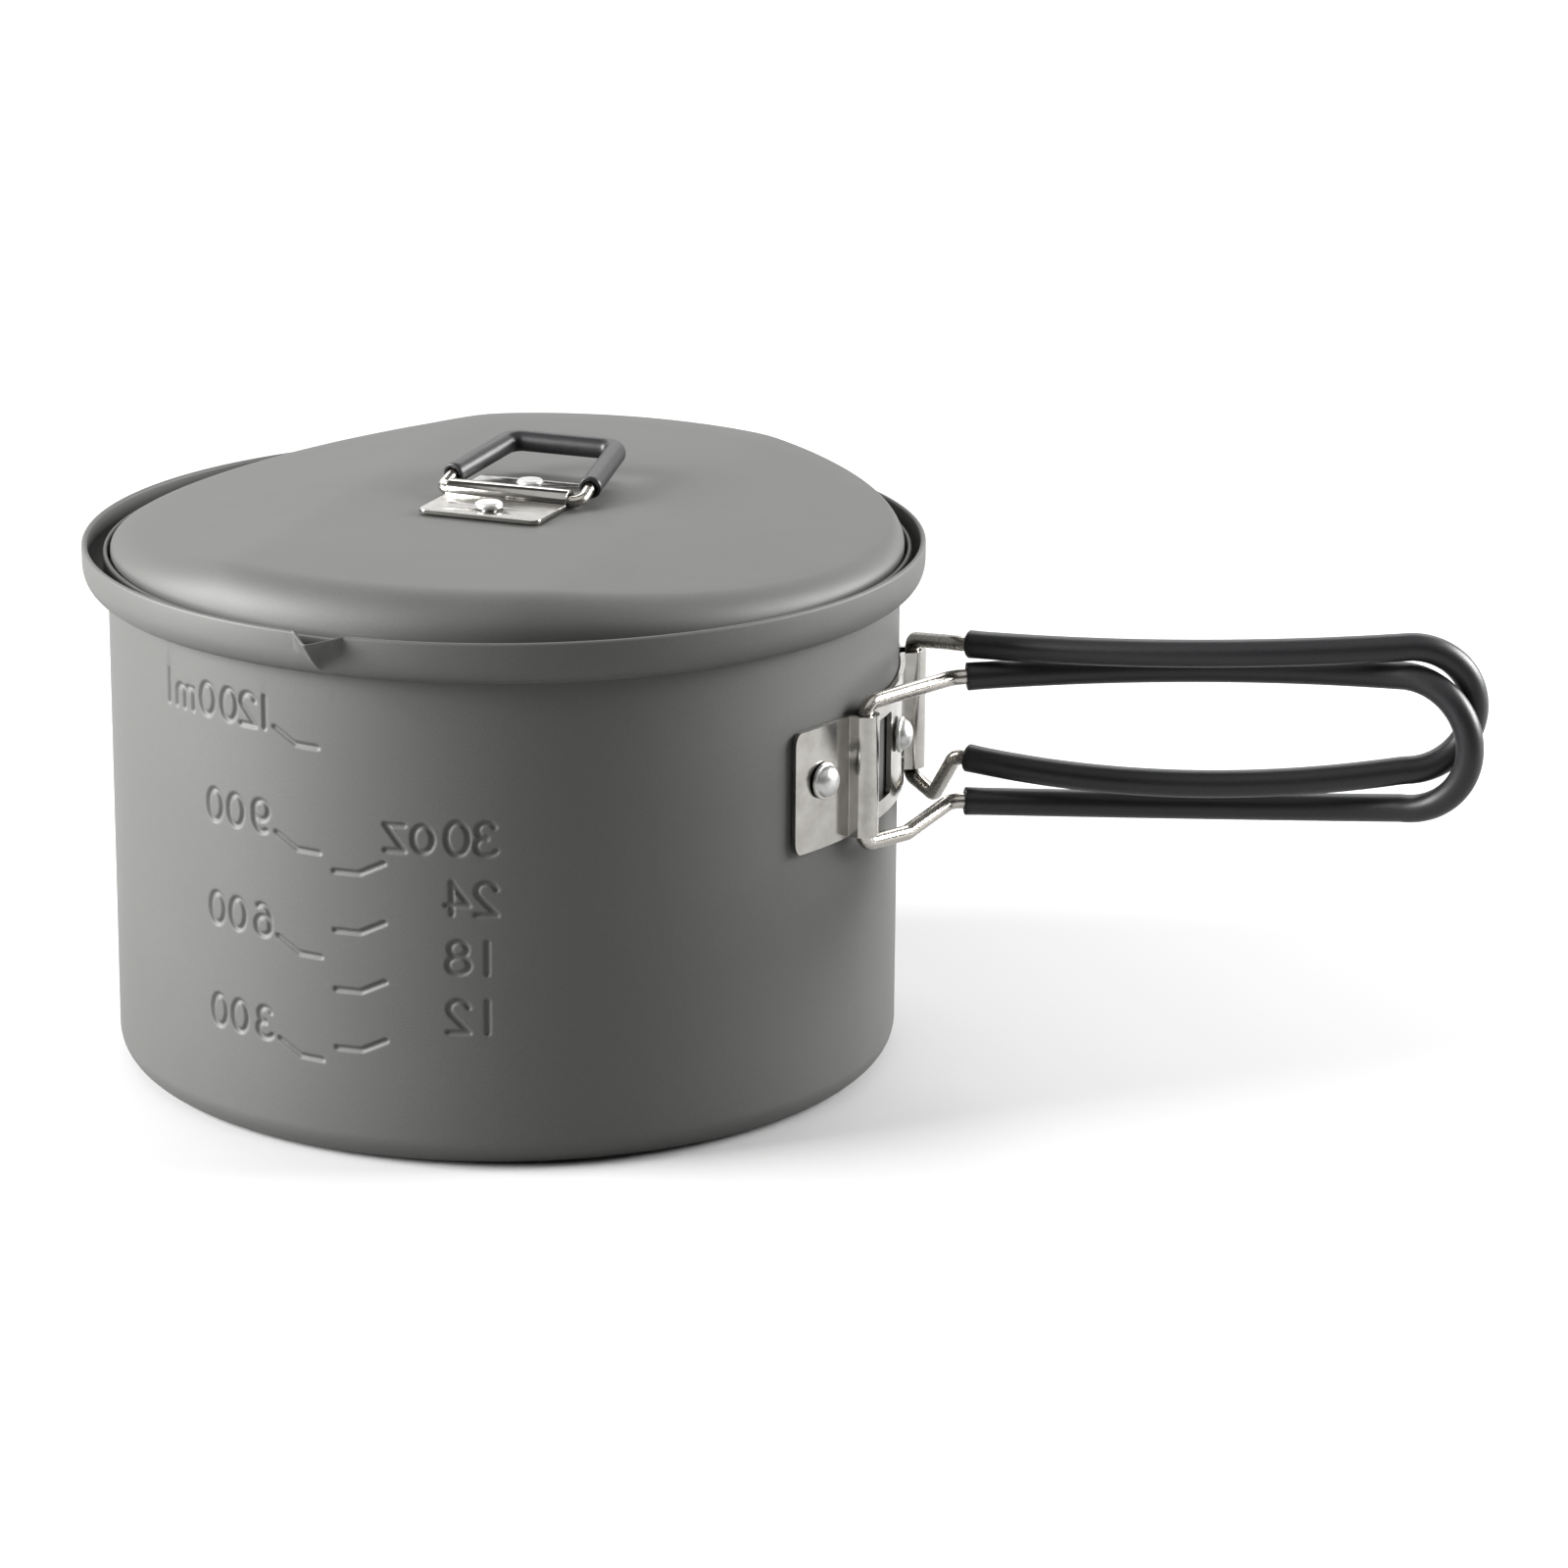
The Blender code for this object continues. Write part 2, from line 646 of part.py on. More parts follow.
def loop_points(loop):
    """Whole wire: up the channel, out, round the grip, back, and up into the channel again."""
    side = loop["side"]
    hinge = polar(HINGE_R, side * CHANNEL_ANGLE)
    middle_z = (BRACKET_LOW_Z + BRACKET_HIGH_Z) / 2
    grip = grip_points(loop)
    bend_y = bow_y(BEND_X, side)
    crank_x, crank_y, crank_z = loop["crank"]
    low_bend_z = 2 * grip[-1].z - grip[-2].z if side < 0 else grip[-1].z
    lead_in = [((hinge.x, hinge.y, middle_z + GAP), 0),
               ((hinge.x, hinge.y, loop["hinge_top_z"]), 0.0025),
               ((BEND_X, bend_y, loop["top_z"]), 0.0050),
               (grip[0], 0)]
    lead_out = [(grip[-1], 0),
                ((BEND_X, bend_y, low_bend_z), 0.0040),
                ((crank_x, side * crank_y, crank_z), 0.0030),
                ((hinge.x, hinge.y, loop["hinge_low_z"]), 0.0020),
                ((hinge.x, hinge.y, middle_z - GAP), 0)]
    return round_corners(lead_in) + grip[1:-1] + round_corners(lead_out)


def make_handle(name, loop, collection, steel, vinyl):
    wire = add_wire(f"{name}_handle_wire", loop_points(loop), HANDLE_WIRE_R, collection, steel)
    sleeve = add_sleeve(f"{name}_handle_sleeve", grip_points(loop), HANDLE_SLEEVE_R, SLEEVE_WALL,
                        collection, vinyl)
    return wire, sleeve


# ---- assembly ------------------------------------------------------------------------------

def clear_scene():
    for item in list(bpy.data.objects):
        bpy.data.objects.remove(item)


def main():
    clear_scene()
    parts = make_collection(NAME)
    cutters = make_collection("cutters")
    anodised = make_material("anodised_aluminium", (0.23, 0.23, 0.21), 0.45, 0.6)
    steel = make_material("stainless_steel", (0.75, 0.74, 0.70), 0.22, 1.0)
    vinyl = make_material("black_vinyl", (0.012, 0.012, 0.014), 0.25, 0.0)

    wall_holes = bracket_rivet_holes(cutters)
    windows = [window_cutter("window_front", -1, cutters), window_cutter("window_rear", 1, cutters)]
    make_pot_body(parts, anodised, wall_holes)
    make_bracket(parts, steel, wall_holes + windows)
    make_bracket_rivets(parts, steel)

    lid_holes = lid_rivet_holes(cutters)
    lid = make_lid(parts, anodised, lid_holes)
    plate = make_hinge_plate(parts, steel, lid_holes)
    lid_rivets = make_lid_rivets(parts, steel)
    bail = make_bail(parts, steel, vinyl)
    lift = add_hinge("lid_lift", (0, 0, HEM_BOTTOM_Z), parts)
    hang(lift, lid, plate, *lid_rivets)
    bail_hinge = add_hinge("lid_handle_hinge", plate_frame() @ Vector((0, 0, hinge_height())),
                           parts)
    hang(bail_hinge, *bail)
    hang(lift, bail_hinge)

    for name, loop in (("front", FRONT_LOOP), ("rear", REAR_LOOP)):
        pieces = make_handle(name, loop, parts, steel, vinyl)
        hinge = add_hinge(f"{name}_handle_hinge", polar(HINGE_R, loop["side"] * CHANNEL_ANGLE),
                          parts)
        hang(hinge, *pieces)


main()
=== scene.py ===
"""Looks of the cooking pot set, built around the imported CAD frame.

A hard-anodised pot with a pressed volume scale and a pouring lip, its roof-shaped lid with a
folding bail, and two folding wire handles with vinyl sleeves in a riveted stainless bracket.
Row frame, metres: +Z up, origin at the middle of the flat bottom, +X along the open handles.
"""
from math import asin, atan2, ceil, cos, degrees, hypot, pi, radians, sin, sqrt, tan

import bmesh
import bpy
from mathutils import Matrix, Vector


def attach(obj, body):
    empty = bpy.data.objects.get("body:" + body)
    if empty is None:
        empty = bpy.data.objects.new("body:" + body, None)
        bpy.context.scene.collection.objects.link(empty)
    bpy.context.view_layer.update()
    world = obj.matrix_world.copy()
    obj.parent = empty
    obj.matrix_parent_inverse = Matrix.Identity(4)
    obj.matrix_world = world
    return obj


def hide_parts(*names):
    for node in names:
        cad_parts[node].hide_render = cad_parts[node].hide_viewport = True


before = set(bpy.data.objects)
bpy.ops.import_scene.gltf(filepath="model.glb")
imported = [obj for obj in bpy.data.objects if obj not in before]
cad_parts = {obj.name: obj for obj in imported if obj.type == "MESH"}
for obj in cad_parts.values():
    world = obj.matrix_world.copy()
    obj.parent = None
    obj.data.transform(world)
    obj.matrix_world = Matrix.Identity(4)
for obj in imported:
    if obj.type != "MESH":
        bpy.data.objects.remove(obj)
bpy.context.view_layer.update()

GAP = 0.0003                     # left between pieces that touch on the real pot

# Pot
WALL_R = 0.0720
SHEET = 0.0010
BOTTOM_CORNER_R = 0.0053
CREASE_Z = 0.0886
BEAD_Z = 0.0935
RIM_Z = 0.0966
RIM_R = 0.0766
BEAD_POWER = 2.4
LIP_AZIMUTH = -99.7
LIP_HALF_ANGLE = 3.65
LIP_REACH = 0.0060
LIP_BOTTOM_Z = 0.0900

# Pressed volume scale: s runs along the wall from this azimuth, towards the handles
SCALE_AZIMUTH = -100.0
STROKE_DEPTH = 0.00040
STROKE_FLOOR = 0.00020           # half width of the groove's floor
STROKE_EDGE = 0.00062            # half width at the wall's surface
FLUID_OUNCE = 28.41e-6           # imperial, in cubic metres
MARK_SPAN = (-134.0, -74.0)      # azimuths between which the wall is meshed finely
MARK_HEIGHTS = (0.0150, 0.0850)

# Lid
LID_R = 0.0721
LID_BAND_Z = 0.1031
LID_EDGES_Z = (0.0970, 0.0984)
LID_FOLD_U = 0.0288
LID_FOLD_SOFTNESS = 0.0022
LID_TURN = -6.0
LID_CENTRE = (0.0006, 0.0002)
LID_SHOULDER = 0.0080            # width of the rounded shoulder where it is widest, in front
LID_SIDE_SHARE = 0.62
LID_TIGHT_SHARE = 0.28
LID_FRONT_AZIMUTH = -92.0
LID_FRONT_HALF_ANGLE = 85.0
LID_TIGHT_AZIMUTH = 62.0
LID_TIGHT_HALF_ANGLE = 62.0
HEM_R = 0.0734
HEM_TOP_Z = 0.0952
HEM_BOTTOM_Z = 0.0907
HEM_SHEET = 0.0008
HEM_SEAM = 0.0005

# Lid bail and its plate: u along the hinge, v towards the bail
PLATE_TURN = -9.0
PLATE_CENTRE = (0.0018, -0.0033)
PLATE_SHEET = 0.0008
PLATE_HALF_U = 0.01185
PLATE_HALF_V = 0.01475
PLATE_CORNER_R = 0.0018
LID_RIVET_V = 0.0092
LID_RIVET_HEAD_R = 0.0025
BAIL_WIRE_R = 0.00105
BAIL_SLEEVE_R = 0.0020
BAIL_FOOT = (0.0136, 0.0050, 0.00155)
BAIL_FAR = (0.0106, 0.0254, 0.0040)

# Handle bracket
BRACKET_LOW_Z = 0.0510
BRACKET_HIGH_Z = 0.0733
BRACKET_SHEET = 0.0009
BRACKET_HALF_ANGLE = 31.4
BRACKET_CORNER_R = 0.0026
CHANNEL_ANGLE = 17.2
HINGE_R = 0.0749
RIVET_ANGLE = 25.7
RIVET_Z = 0.0635
RIVET_HEAD_R = 0.0033
RIVET_HEAD_H = 0.0025
RIVET_SHANK_R = 0.0015
WINDOW_LOW_Z = 0.0540
WINDOW_HIGH_Z = 0.0693
WINDOW_ANGLES = (3.9, 12.6)
EDGE_ROUND = 0.00016             # rounding of the sheet's cut edges
CHANNEL_FOOT_R = 0.0005          # bend where a channel leaves the wall
CHANNEL_MARGIN = 0.0006          # flat left beside a channel

# Handle loops
HANDLE_WIRE_R = 0.0014
HANDLE_SLEEVE_R = 0.0025
SLEEVE_WALL = 0.0008
BEND_X = 0.0836
SLEEVE_X = 0.0859
HANDLE_END_X = 0.1767
BOW_X = 0.1285
BOW_Y = 0.00515
BOW_WIDTH = 0.285
FRONT_LOOP = {
    "side": -1,
    "hinge_top_z": 0.0753, "hinge_low_z": 0.0493,
    "top_z": 0.0753, "top_rise": 0.0616,
    "low_z": 0.0517, "low_x": 0.104, "low_curve": 1.124,
    "crank": (0.0776, 0.0130, 0.0490),
}
REAR_LOOP = {
    "side": 1,
    "hinge_top_z": 0.0753, "hinge_low_z": 0.0493,
    "top_z": 0.0807, "top_rise": 0.0640,
    "low_z": 0.0589, "low_x": 0.108, "low_curve": 1.330,
    "crank": (0.0777, 0.0129, 0.0487),
}


# ---- plain helpers -------------------------------------------------------------------------

def polar(radius, angle, z=0.0):
    return Vector((radius * cos(radians(angle)), radius * sin(radians(angle)), z))


def smoothstep(x):
    x = max(0.0, min(1.0, x))
    return x * x * (3 - 2 * x)


def arc(centre, radius, start, end, steps):
    """Points of an arc in a plane, angles in degrees."""
    angles = [radians(start + (end - start) * k / steps) for k in range(steps + 1)]
    return [(centre[0] + radius * cos(a), centre[1] + radius * sin(a)) for a in angles]


def divide(start, end, steps):
    """Numbers from start to end, without the last."""
    return [start + (end - start) * k / steps for k in range(steps)]


def round_corners(corners, steps=12):
    """Polyline with each corner (point, radius) replaced by an arc; radius 0 keeps the point."""
    points = []
    for index, (point, radius) in enumerate(corners):
        point = Vector(point)
        if radius == 0:
            points.append(point)
            continue
        back = (Vector(corners[index - 1][0]) - point).normalized()
        ahead = (Vector(corners[index + 1][0]) - point).normalized()
        half = back.angle(ahead) / 2
        middle = (back + ahead).normalized() * radius / sin(half)
        first = back * radius / tan(half) - middle
        last = ahead * radius / tan(half) - middle
        for k in range(steps + 1):
            spoke = first.lerp(last, k / steps).normalized() * radius
            points.append(point + middle + spoke)
    return points


def add_piece(name, mesh, material, body, nodes):
    """A finished mesh becomes a piece that rides on a body and stands for its CAD nodes."""
    piece = bpy.data.objects.new(name, mesh)
    bpy.context.scene.collection.objects.link(piece)
    mesh.materials.clear()
    mesh.materials.append(material)
    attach(piece, body)
    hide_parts(*nodes)
    return piece


def finish_mesh(name, bm, sharp_angle=40):
    bmesh.ops.recalc_face_normals(bm, faces=bm.faces)
    mesh = bpy.data.meshes.new(name)
    bm.to_mesh(mesh)
    bm.free()
    mesh.shade_smooth()
    mesh.set_sharp_from_angle(angle=radians(sharp_angle))
    return mesh


def modified_mesh(name, mesh, add_modifiers, sharp_angle=40):
    """The mesh after some modifiers, as new data."""
    helper = bpy.data.objects.new(name + "_helper", mesh)
    bpy.context.scene.collection.objects.link(helper)
    add_modifiers(helper)
    bpy.context.view_layer.update()
    evaluated = helper.evaluated_get(bpy.context.evaluated_depsgraph_get())
    result = bpy.data.meshes.new_from_object(evaluated)
    result.name = name
    bpy.data.objects.remove(helper)
    bm = bmesh.new()
    bm.from_mesh(result)
    bmesh.ops.remove_doubles(bm, verts=bm.verts, dist=0.0000005)
    bpy.data.meshes.remove(result)
    return finish_mesh(name, bm, sharp_angle)


# ---- pressed volume scale ------------------------------------------------------------------

def ring(x, y, half_w, half_h, start=0, end=360, steps=24):
    """Stretched arc in a glyph's cell, angles in degrees."""
    angles = [radians(start + (end - start) * k / steps) for k in range(steps + 1)]
    return [(x + half_w * cos(a), y + half_h * sin(a)) for a in angles]


GLYPHS = {
    "0": [ring(0.5, 0.5, 0.5, 0.5)],
    "1": [[(0.5, 0.0), (0.5, 1.0)]],
    "2": [ring(0.5, 0.72, 0.46, 0.28, 165, -25, 14) + [(0.04, 0.0), (1.0, 0.0)]],
    "3": [ring(0.48, 0.75, 0.42, 0.25, 150, -90, 14) + ring(0.48, 0.27, 0.50, 0.27, 90, -150, 16)],
    "4": [[(0.78, 0.0), (0.78, 1.0), (0.0, 0.28), (1.05, 0.28)]],
    "6": [ring(0.5, 0.31, 0.48, 0.31), ring(0.56, 0.52, 0.54, 0.48, 60, 205, 12)],
    "8": [ring(0.5, 0.76, 0.40, 0.24), ring(0.5, 0.26, 0.50, 0.26)],
    "9": [ring(0.5, 0.69, 0.48, 0.31), ring(0.44, 0.48, 0.54, 0.48, 25, -120, 12)],
    "l": [[(0.5, 0.0), (0.5, 1.08)]],
    "m": [[(0.0, 0.0), (0.0, 0.68)],
          ring(0.25, 0.44, 0.25, 0.24, 180, 0, 10) + [(0.5, 0.0)],
          ring(0.75, 0.44, 0.25, 0.24, 180, 0, 10) + [(1.0, 0.0)]],
    "o": [ring(0.5, 0.42, 0.5, 0.42)],
    "z": [[(0.0, 0.82), (1.0, 0.82), (0.0, 0.0), (1.0, 0.0)]],
}


def place_glyph(character, middle, width, low_z, height):
    """Strokes on the wall as (s, z). Seen from outside, the whole scale is mirrored."""
    return [[(middle - (x - 0.5) * width, low_z + y * height) for x, y in stroke]
            for stroke in GLYPHS[character]]


def fill_height(volume, sag):
    """Height of a mark: the level in a straight cylinder, less the sheet's rounded corner."""
    return volume / (pi * (WALL_R - SHEET) ** 2) - sag


def litre_marks():
    """Left column: ticks that step up towards the numerals on their left."""
    strokes = []
    for millilitres in (300, 600, 900, 1200):
        z = fill_height(millilitres * 1e-6, 0.0008)
        strokes.append([(-0.0023, z), (-0.0067, z + 0.0001), (-0.0110, z + 0.0025)])
        digits = str(millilitres)
        places = (-0.0143, -0.0201, -0.0252) if len(digits) == 3 else (-0.0131, -0.0167, -0.0212,
                                                                      -0.0266)
        for character, middle in zip(digits, places):
            strokes += place_glyph(character, middle, 0.0034, z + 0.0020, 0.0056)
    unit_z = fill_height(1200e-6, 0.0008) + 0.0020
    strokes += place_glyph("m", -0.0328, 0.0048, unit_z, 0.0056)
    strokes += place_glyph("l", -0.0376, 0.0034, unit_z, 0.0058)
    return strokes


def ounce_marks():
    """Right column: ticks that step up towards the numerals on their right."""
    strokes = []
    for ounces in (12, 18, 24, 30):
        z = fill_height(ounces * FLUID_OUNCE, 0.0007)
        strokes.append([(0.0005, z), (0.0053, z + 0.0001), (0.0098, z + 0.0023)])
        for character, middle in zip(str(ounces), (0.0278, 0.0228)):
            strokes += place_glyph(character, middle, 0.0038, z + 0.0046, 0.0058)
    unit_z = fill_height(30 * FLUID_OUNCE, 0.0007) + 0.0048
    strokes += place_glyph("o", 0.0168, 0.0035, unit_z, 0.0056)
    strokes += place_glyph("z", 0.0118, 0.0034, unit_z, 0.0056)
    return strokes


def stroke_segments():
    cell = 0.004
    cells = {}
    for stroke in litre_marks() + ounce_marks():
        for (s0, z0), (s1, z1) in zip(stroke, stroke[1:]):
            low_s, high_s = sorted((s0, s1))
            low_z, high_z = sorted((z0, z1))
            for i in range(int((low_s - STROKE_EDGE) // cell), int((high_s + STROKE_EDGE) // cell) + 1):
                for j in range(int((low_z - STROKE_EDGE) // cell),
                               int((high_z + STROKE_EDGE) // cell) + 1):
                    cells.setdefault((i, j), []).append((s0, z0, s1 - s0, z1 - z0))
    return cell, cells


SCALE_CELL, SCALE_CELLS = stroke_segments()


def groove_depth(azimuth, z):
    """Depth of the pressed scale at a place on the wall."""
    s = radians(azimuth - SCALE_AZIMUTH) * WALL_R
    nearest = STROKE_EDGE
    for s0, z0, ds, dz in SCALE_CELLS.get((int(s // SCALE_CELL), int(z // SCALE_CELL)), ()):
        along = max(0.0, min(1.0, ((s - s0) * ds + (z - z0) * dz) / (ds * ds + dz * dz)))
        nearest = min(nearest, hypot(s - s0 - along * ds, z - z0 - along * dz))
    return STROKE_DEPTH * smoothstep((STROKE_EDGE - nearest) / (STROKE_EDGE - STROKE_FLOOR))


# ---- turned sheet --------------------------------------------------------------------------

class TurnedSheet:
    """A closed section (r, z) turned about Z. Chosen zones of it are meshed finer, and each
    coarse face next to a zone takes the zone's points into its outline."""

    def __init__(self, section, column_angle, shape):
        self.section = section
        self.columns = round(360 / column_angle)
        self.angle = column_angle
        self.shape = shape
        self.bm = bmesh.new()
        self.verts = {}
        self.fine = {}

    def vert(self, row, column):
        """Vertex at a row and column, which may be fractions of the coarse ones."""
        row_key = round(row * 1000)
        column_key = round((column % self.columns) * 1000) % (self.columns * 1000)
        low = min(int(row), len(self.section) - 2)
        start, end = self.section[low], self.section[low + 1]
        share = row - low
        r = start[0] + (end[0] - start[0]) * share
        z = start[1] + (end[1] - start[1]) * share
        if r < 1e-9:
            column_key = 0
        key = (row_key, column_key)
        if key not in self.verts:
            self.verts[key] = self.bm.verts.new(self.shape(r, z, column * self.angle, row))
        return self.verts[key]

    def refine(self, rows, columns, row_parts, column_parts):
        for row in rows:
            for column in columns:
                self.fine[(row, column % self.columns)] = (row_parts, column_parts)

    def parts_between(self, cells, index):
        """Most parts that either neighbour of an edge needs along it."""
        return max(self.fine.get(cell, (1, 1))[index] for cell in cells)

    def build(self):
        rows = range(len(self.section) - 1)
        for (row, column), (row_parts, column_parts) in self.fine.items():
            for i in range(row_parts):
                for j in range(column_parts):
                    corners = [(i, j), (i, j + 1), (i + 1, j + 1), (i + 1, j)]
                    self.face([self.vert(row + a / row_parts, column + b / column_parts)
                               for a, b in corners])
        for row in rows:
            for column in range(self.columns):
                if (row, column) not in self.fine:
                    self.coarse_face(row, column)
        return self.bm

    def coarse_face(self, row, column):
        left = (column - 1) % self.columns
        right = (column + 1) % self.columns
        low = self.parts_between([(row - 1, column)], 1)
        high = self.parts_between([(row + 1, column)], 1)
        near = self.parts_between([(row, left)], 0)
        far = self.parts_between([(row, right)], 0)
        outline = [self.vert(row, column + k / low) for k in range(low)]
        outline += [self.vert(row + k / far, column + 1) for k in range(far)]
        outline += [self.vert(row + 1, column + 1 - k / high) for k in range(high)]
        outline += [self.vert(row + 1 - k / near, column) for k in range(near)]
        self.face(outline)

    def face(self, outline):
        clean = [vert for k, vert in enumerate(outline) if vert is not outline[k - 1]]
        if len(clean) > 2:
            self.bm.faces.new(clean)


def superellipse_bead(base_r, base_z, reach, rise, steps):
    """Section of the rounded bead, from the wall out and up to upright."""
    points = []
    for k in range(1, steps + 1):
        angle = pi / 2 * k / steps
        out = sin(angle) ** (2 / BEAD_POWER)
        up = 1 - max(cos(angle), 0.0) ** (2 / BEAD_POWER)
        points.append((base_r + reach * out, base_z + rise * up))
    return points


# ---- pot -----------------------------------------------------------------------------------

POT_COLUMN = 2.0                 # degrees
BEAD_STEPS = 14
WALL_ROW = 0.0035                # height of a coarse row of the wall


def wall_rows(low, high, radius):
    steps = ceil((high - low) / WALL_ROW)
    return [(radius, z) for z in divide(low, high, steps)]


def pot_section():
    """Section from the middle of the inside, over the rim, to the middle of the underside, with
    the first row of the inner and the outer bead and the rows of the outer wall's scale."""
    inner_r = WALL_R - SHEET
    corner = (WALL_R - BOTTOM_CORNER_R, BOTTOM_CORNER_R)
    half_sheet = SHEET / 2
    section = [(r, SHEET) for r in divide(0, corner[0], 8)]
    section += arc(corner, BOTTOM_CORNER_R - SHEET, -90, 0, 10)
    section += wall_rows(BOTTOM_CORNER_R + WALL_ROW, CREASE_Z + SHEET, inner_r)
    inner_bead = len(section)
    section.append((inner_r, CREASE_Z + SHEET))
    section += superellipse_bead(inner_r, CREASE_Z + SHEET, RIM_R - WALL_R, BEAD_Z - CREASE_Z,
                                 BEAD_STEPS)
    rim_centre = (RIM_R - half_sheet, RIM_Z - half_sheet)
    section += arc(rim_centre, half_sheet, 180, 0, 8)
    outer_bead = [(WALL_R, CREASE_Z)] + superellipse_bead(WALL_R, CREASE_Z, RIM_R - WALL_R,
                                                         BEAD_Z - CREASE_Z, BEAD_STEPS)
    section += reversed(outer_bead)
    outer_wall = len(section) - 1
    upper, lower = MARK_HEIGHTS[1], MARK_HEIGHTS[0]
    section += [(r, z) for r, z in reversed(wall_rows(lower, upper + WALL_ROW / 2, WALL_R))]
    foot = len(section) - 1
    section += reversed(arc(corner, BOTTOM_CORNER_R, -90, 0, 12))
    section += reversed([(r, 0.0) for r in divide(0, corner[0], 8)])
    return section, range(inner_bead, outer_wall), range(outer_wall + 1, foot)


def pot_shape(r, z, azimuth, row):
    """Place of a point of the pot: the lip is pressed out and the scale is pressed in."""
    height = (z - LIP_BOTTOM_Z) / (RIM_Z - LIP_BOTTOM_Z)
    away = (azimuth - LIP_AZIMUTH + 180) % 360 - 180
    if height > 0 and abs(away) < LIP_HALF_ANGLE * height:
        across = abs(away) / (LIP_HALF_ANGLE * height)
        softened = 1 - sqrt(across * across + 0.010) + 0.005
        r += LIP_REACH * height * max(0.0, softened)
        z -= 0.0006 * height * max(0.0, softened)
    turned = (azimuth + 180) % 360 - 180
    on_wall = abs(r - WALL_R) < 1e-6 and MARK_HEIGHTS[0] < z < MARK_HEIGHTS[1]
    if on_wall and MARK_SPAN[0] < turned < MARK_SPAN[1]:
        r -= groove_depth(turned, z)
    return polar(r, azimuth, z)


def column_range(start, end):
    return range(int(start // POT_COLUMN), int(ceil(end / POT_COLUMN)))


def bracket_hole_lines():
    lines = []
    for angle in (-RIVET_ANGLE, 0.0, RIVET_ANGLE):
        lines.append((polar(WALL_R - 4 * SHEET, angle, RIVET_Z),
                      polar(WALL_R + 4 * SHEET, angle, RIVET_Z)))
    return lines


def make_pot(material):
    section, bead_rows, scale_rows = pot_section()
    sheet = TurnedSheet(section, POT_COLUMN, pot_shape)
    lip = (LIP_AZIMUTH - LIP_HALF_ANGLE, LIP_AZIMUTH + LIP_HALF_ANGLE)
    sheet.refine(bead_rows, column_range(*lip), 1, 10)
    sheet.refine(scale_rows, column_range(*MARK_SPAN), 14, 9)
    mesh = finish_mesh("pot_shell", sheet.build(), 50)
    return add_piece("pot_shell", mesh, material, "pot", ["pot_body"])


# ---- lid -----------------------------------------------------------------------------------

def lid_section():
    """Section of the lid as if it were flat-topped at the band's height, outside first."""
    inner_r = LID_R - SHEET
    drop = LID_BAND_Z - HEM_TOP_Z
    steps = 20
    section = [(r, LID_BAND_Z) for r in divide(0, LID_R - LID_SHOULDER, 40)]
    for step in range(steps + 1):
        angle = pi / 2 * step / steps
        section.append((LID_R - LID_SHOULDER * (1 - sin(angle)), HEM_TOP_Z + drop * cos(angle)))
    seam_z = HEM_BOTTOM_Z + HEM_SHEET
    section += [(LID_R, seam_z), (LID_R + HEM_SEAM, seam_z)]
    hem_half = (HEM_R - LID_R - HEM_SEAM) / 2
    section += arc((LID_R + HEM_SEAM + hem_half, HEM_TOP_Z - hem_half), hem_half, 180, 0, 8)
    section += arc((HEM_R - HEM_SHEET, seam_z), HEM_SHEET, 0, -90, 6)
    section += [(inner_r + 0.0003, HEM_BOTTOM_Z), (inner_r, seam_z)]
    inside = len(section) - 1
    for step in range(steps + 1):
        angle = pi / 2 * (1 - step / steps)
        radius = inner_r - (LID_SHOULDER - SHEET) * (1 - sin(angle))
        section.append((radius, HEM_TOP_Z - SHEET + drop * cos(angle)))
    section += reversed([(r, LID_BAND_Z - SHEET)
                         for r in divide(0, LID_R - LID_SHOULDER, 40)])
    return section, inside


def lid_height(u):
    """Height of the top above the hem: the flat band, then a facet down to the side."""
    slope = (LID_BAND_Z - LID_EDGES_Z[u > 0]) / (LID_R - LID_FOLD_U)
    past = abs(u) - LID_FOLD_U
    softened = (past + sqrt(past * past + LID_FOLD_SOFTNESS ** 2)) / 2
    return LID_BAND_Z - HEM_TOP_Z - slope * softened


def nearness(azimuth, middle, half_angle):
    """From 0 at a middle azimuth to 1 at a half angle from it and beyond."""
    turned = (azimuth - middle + 180) % 360 - 180
    return min(1.0, abs(turned) / half_angle)


def shoulder_share(azimuth):
    """Share of the full shoulder width at an azimuth: wide in front, tight at the rear right."""
    front = nearness(azimuth, LID_FRONT_AZIMUTH, LID_FRONT_HALF_ANGLE)
    tight = nearness(azimuth, LID_TIGHT_AZIMUTH, LID_TIGHT_HALF_ANGLE)
    wider = (1 - LID_SIDE_SHARE) * (1 - front ** 2) ** 2
    tighter = (LID_SIDE_SHARE - LID_TIGHT_SHARE) * (1 - tight ** 4)
    return LID_SIDE_SHARE + wider - tighter


def make_lid(material):
    section, inside_row = lid_section()
    full = LID_BAND_Z - HEM_TOP_Z

    def shape(r, z, azimuth, row):
        inside = row > inside_row
        skin = SHEET if inside else 0.0
        edge = LID_R - skin
        if z + skin > HEM_TOP_Z and edge - LID_SHOULDER < r < edge + 1e-6:
            r = edge - (edge - r) * shoulder_share(azimuth)
        above = z + skin - HEM_TOP_Z
        if above > 0 and r < LID_R + 1e-6:
            z -= above * (1 - lid_height(r * cos(radians(azimuth))) / full)
        return polar(r, azimuth, z)

    sheet = TurnedSheet(section, 2.0, shape)
    mesh = finish_mesh("lid_shell", sheet.build(), 50)
    mesh.transform(Matrix.Translation((*LID_CENTRE, 0)) @ Matrix.Rotation(radians(LID_TURN), 4, "Z"))
    return add_piece("lid_shell", mesh, material, "lid", ["lid"])


# ---- folded sheet: hinge plate and bracket -------------------------------------------------

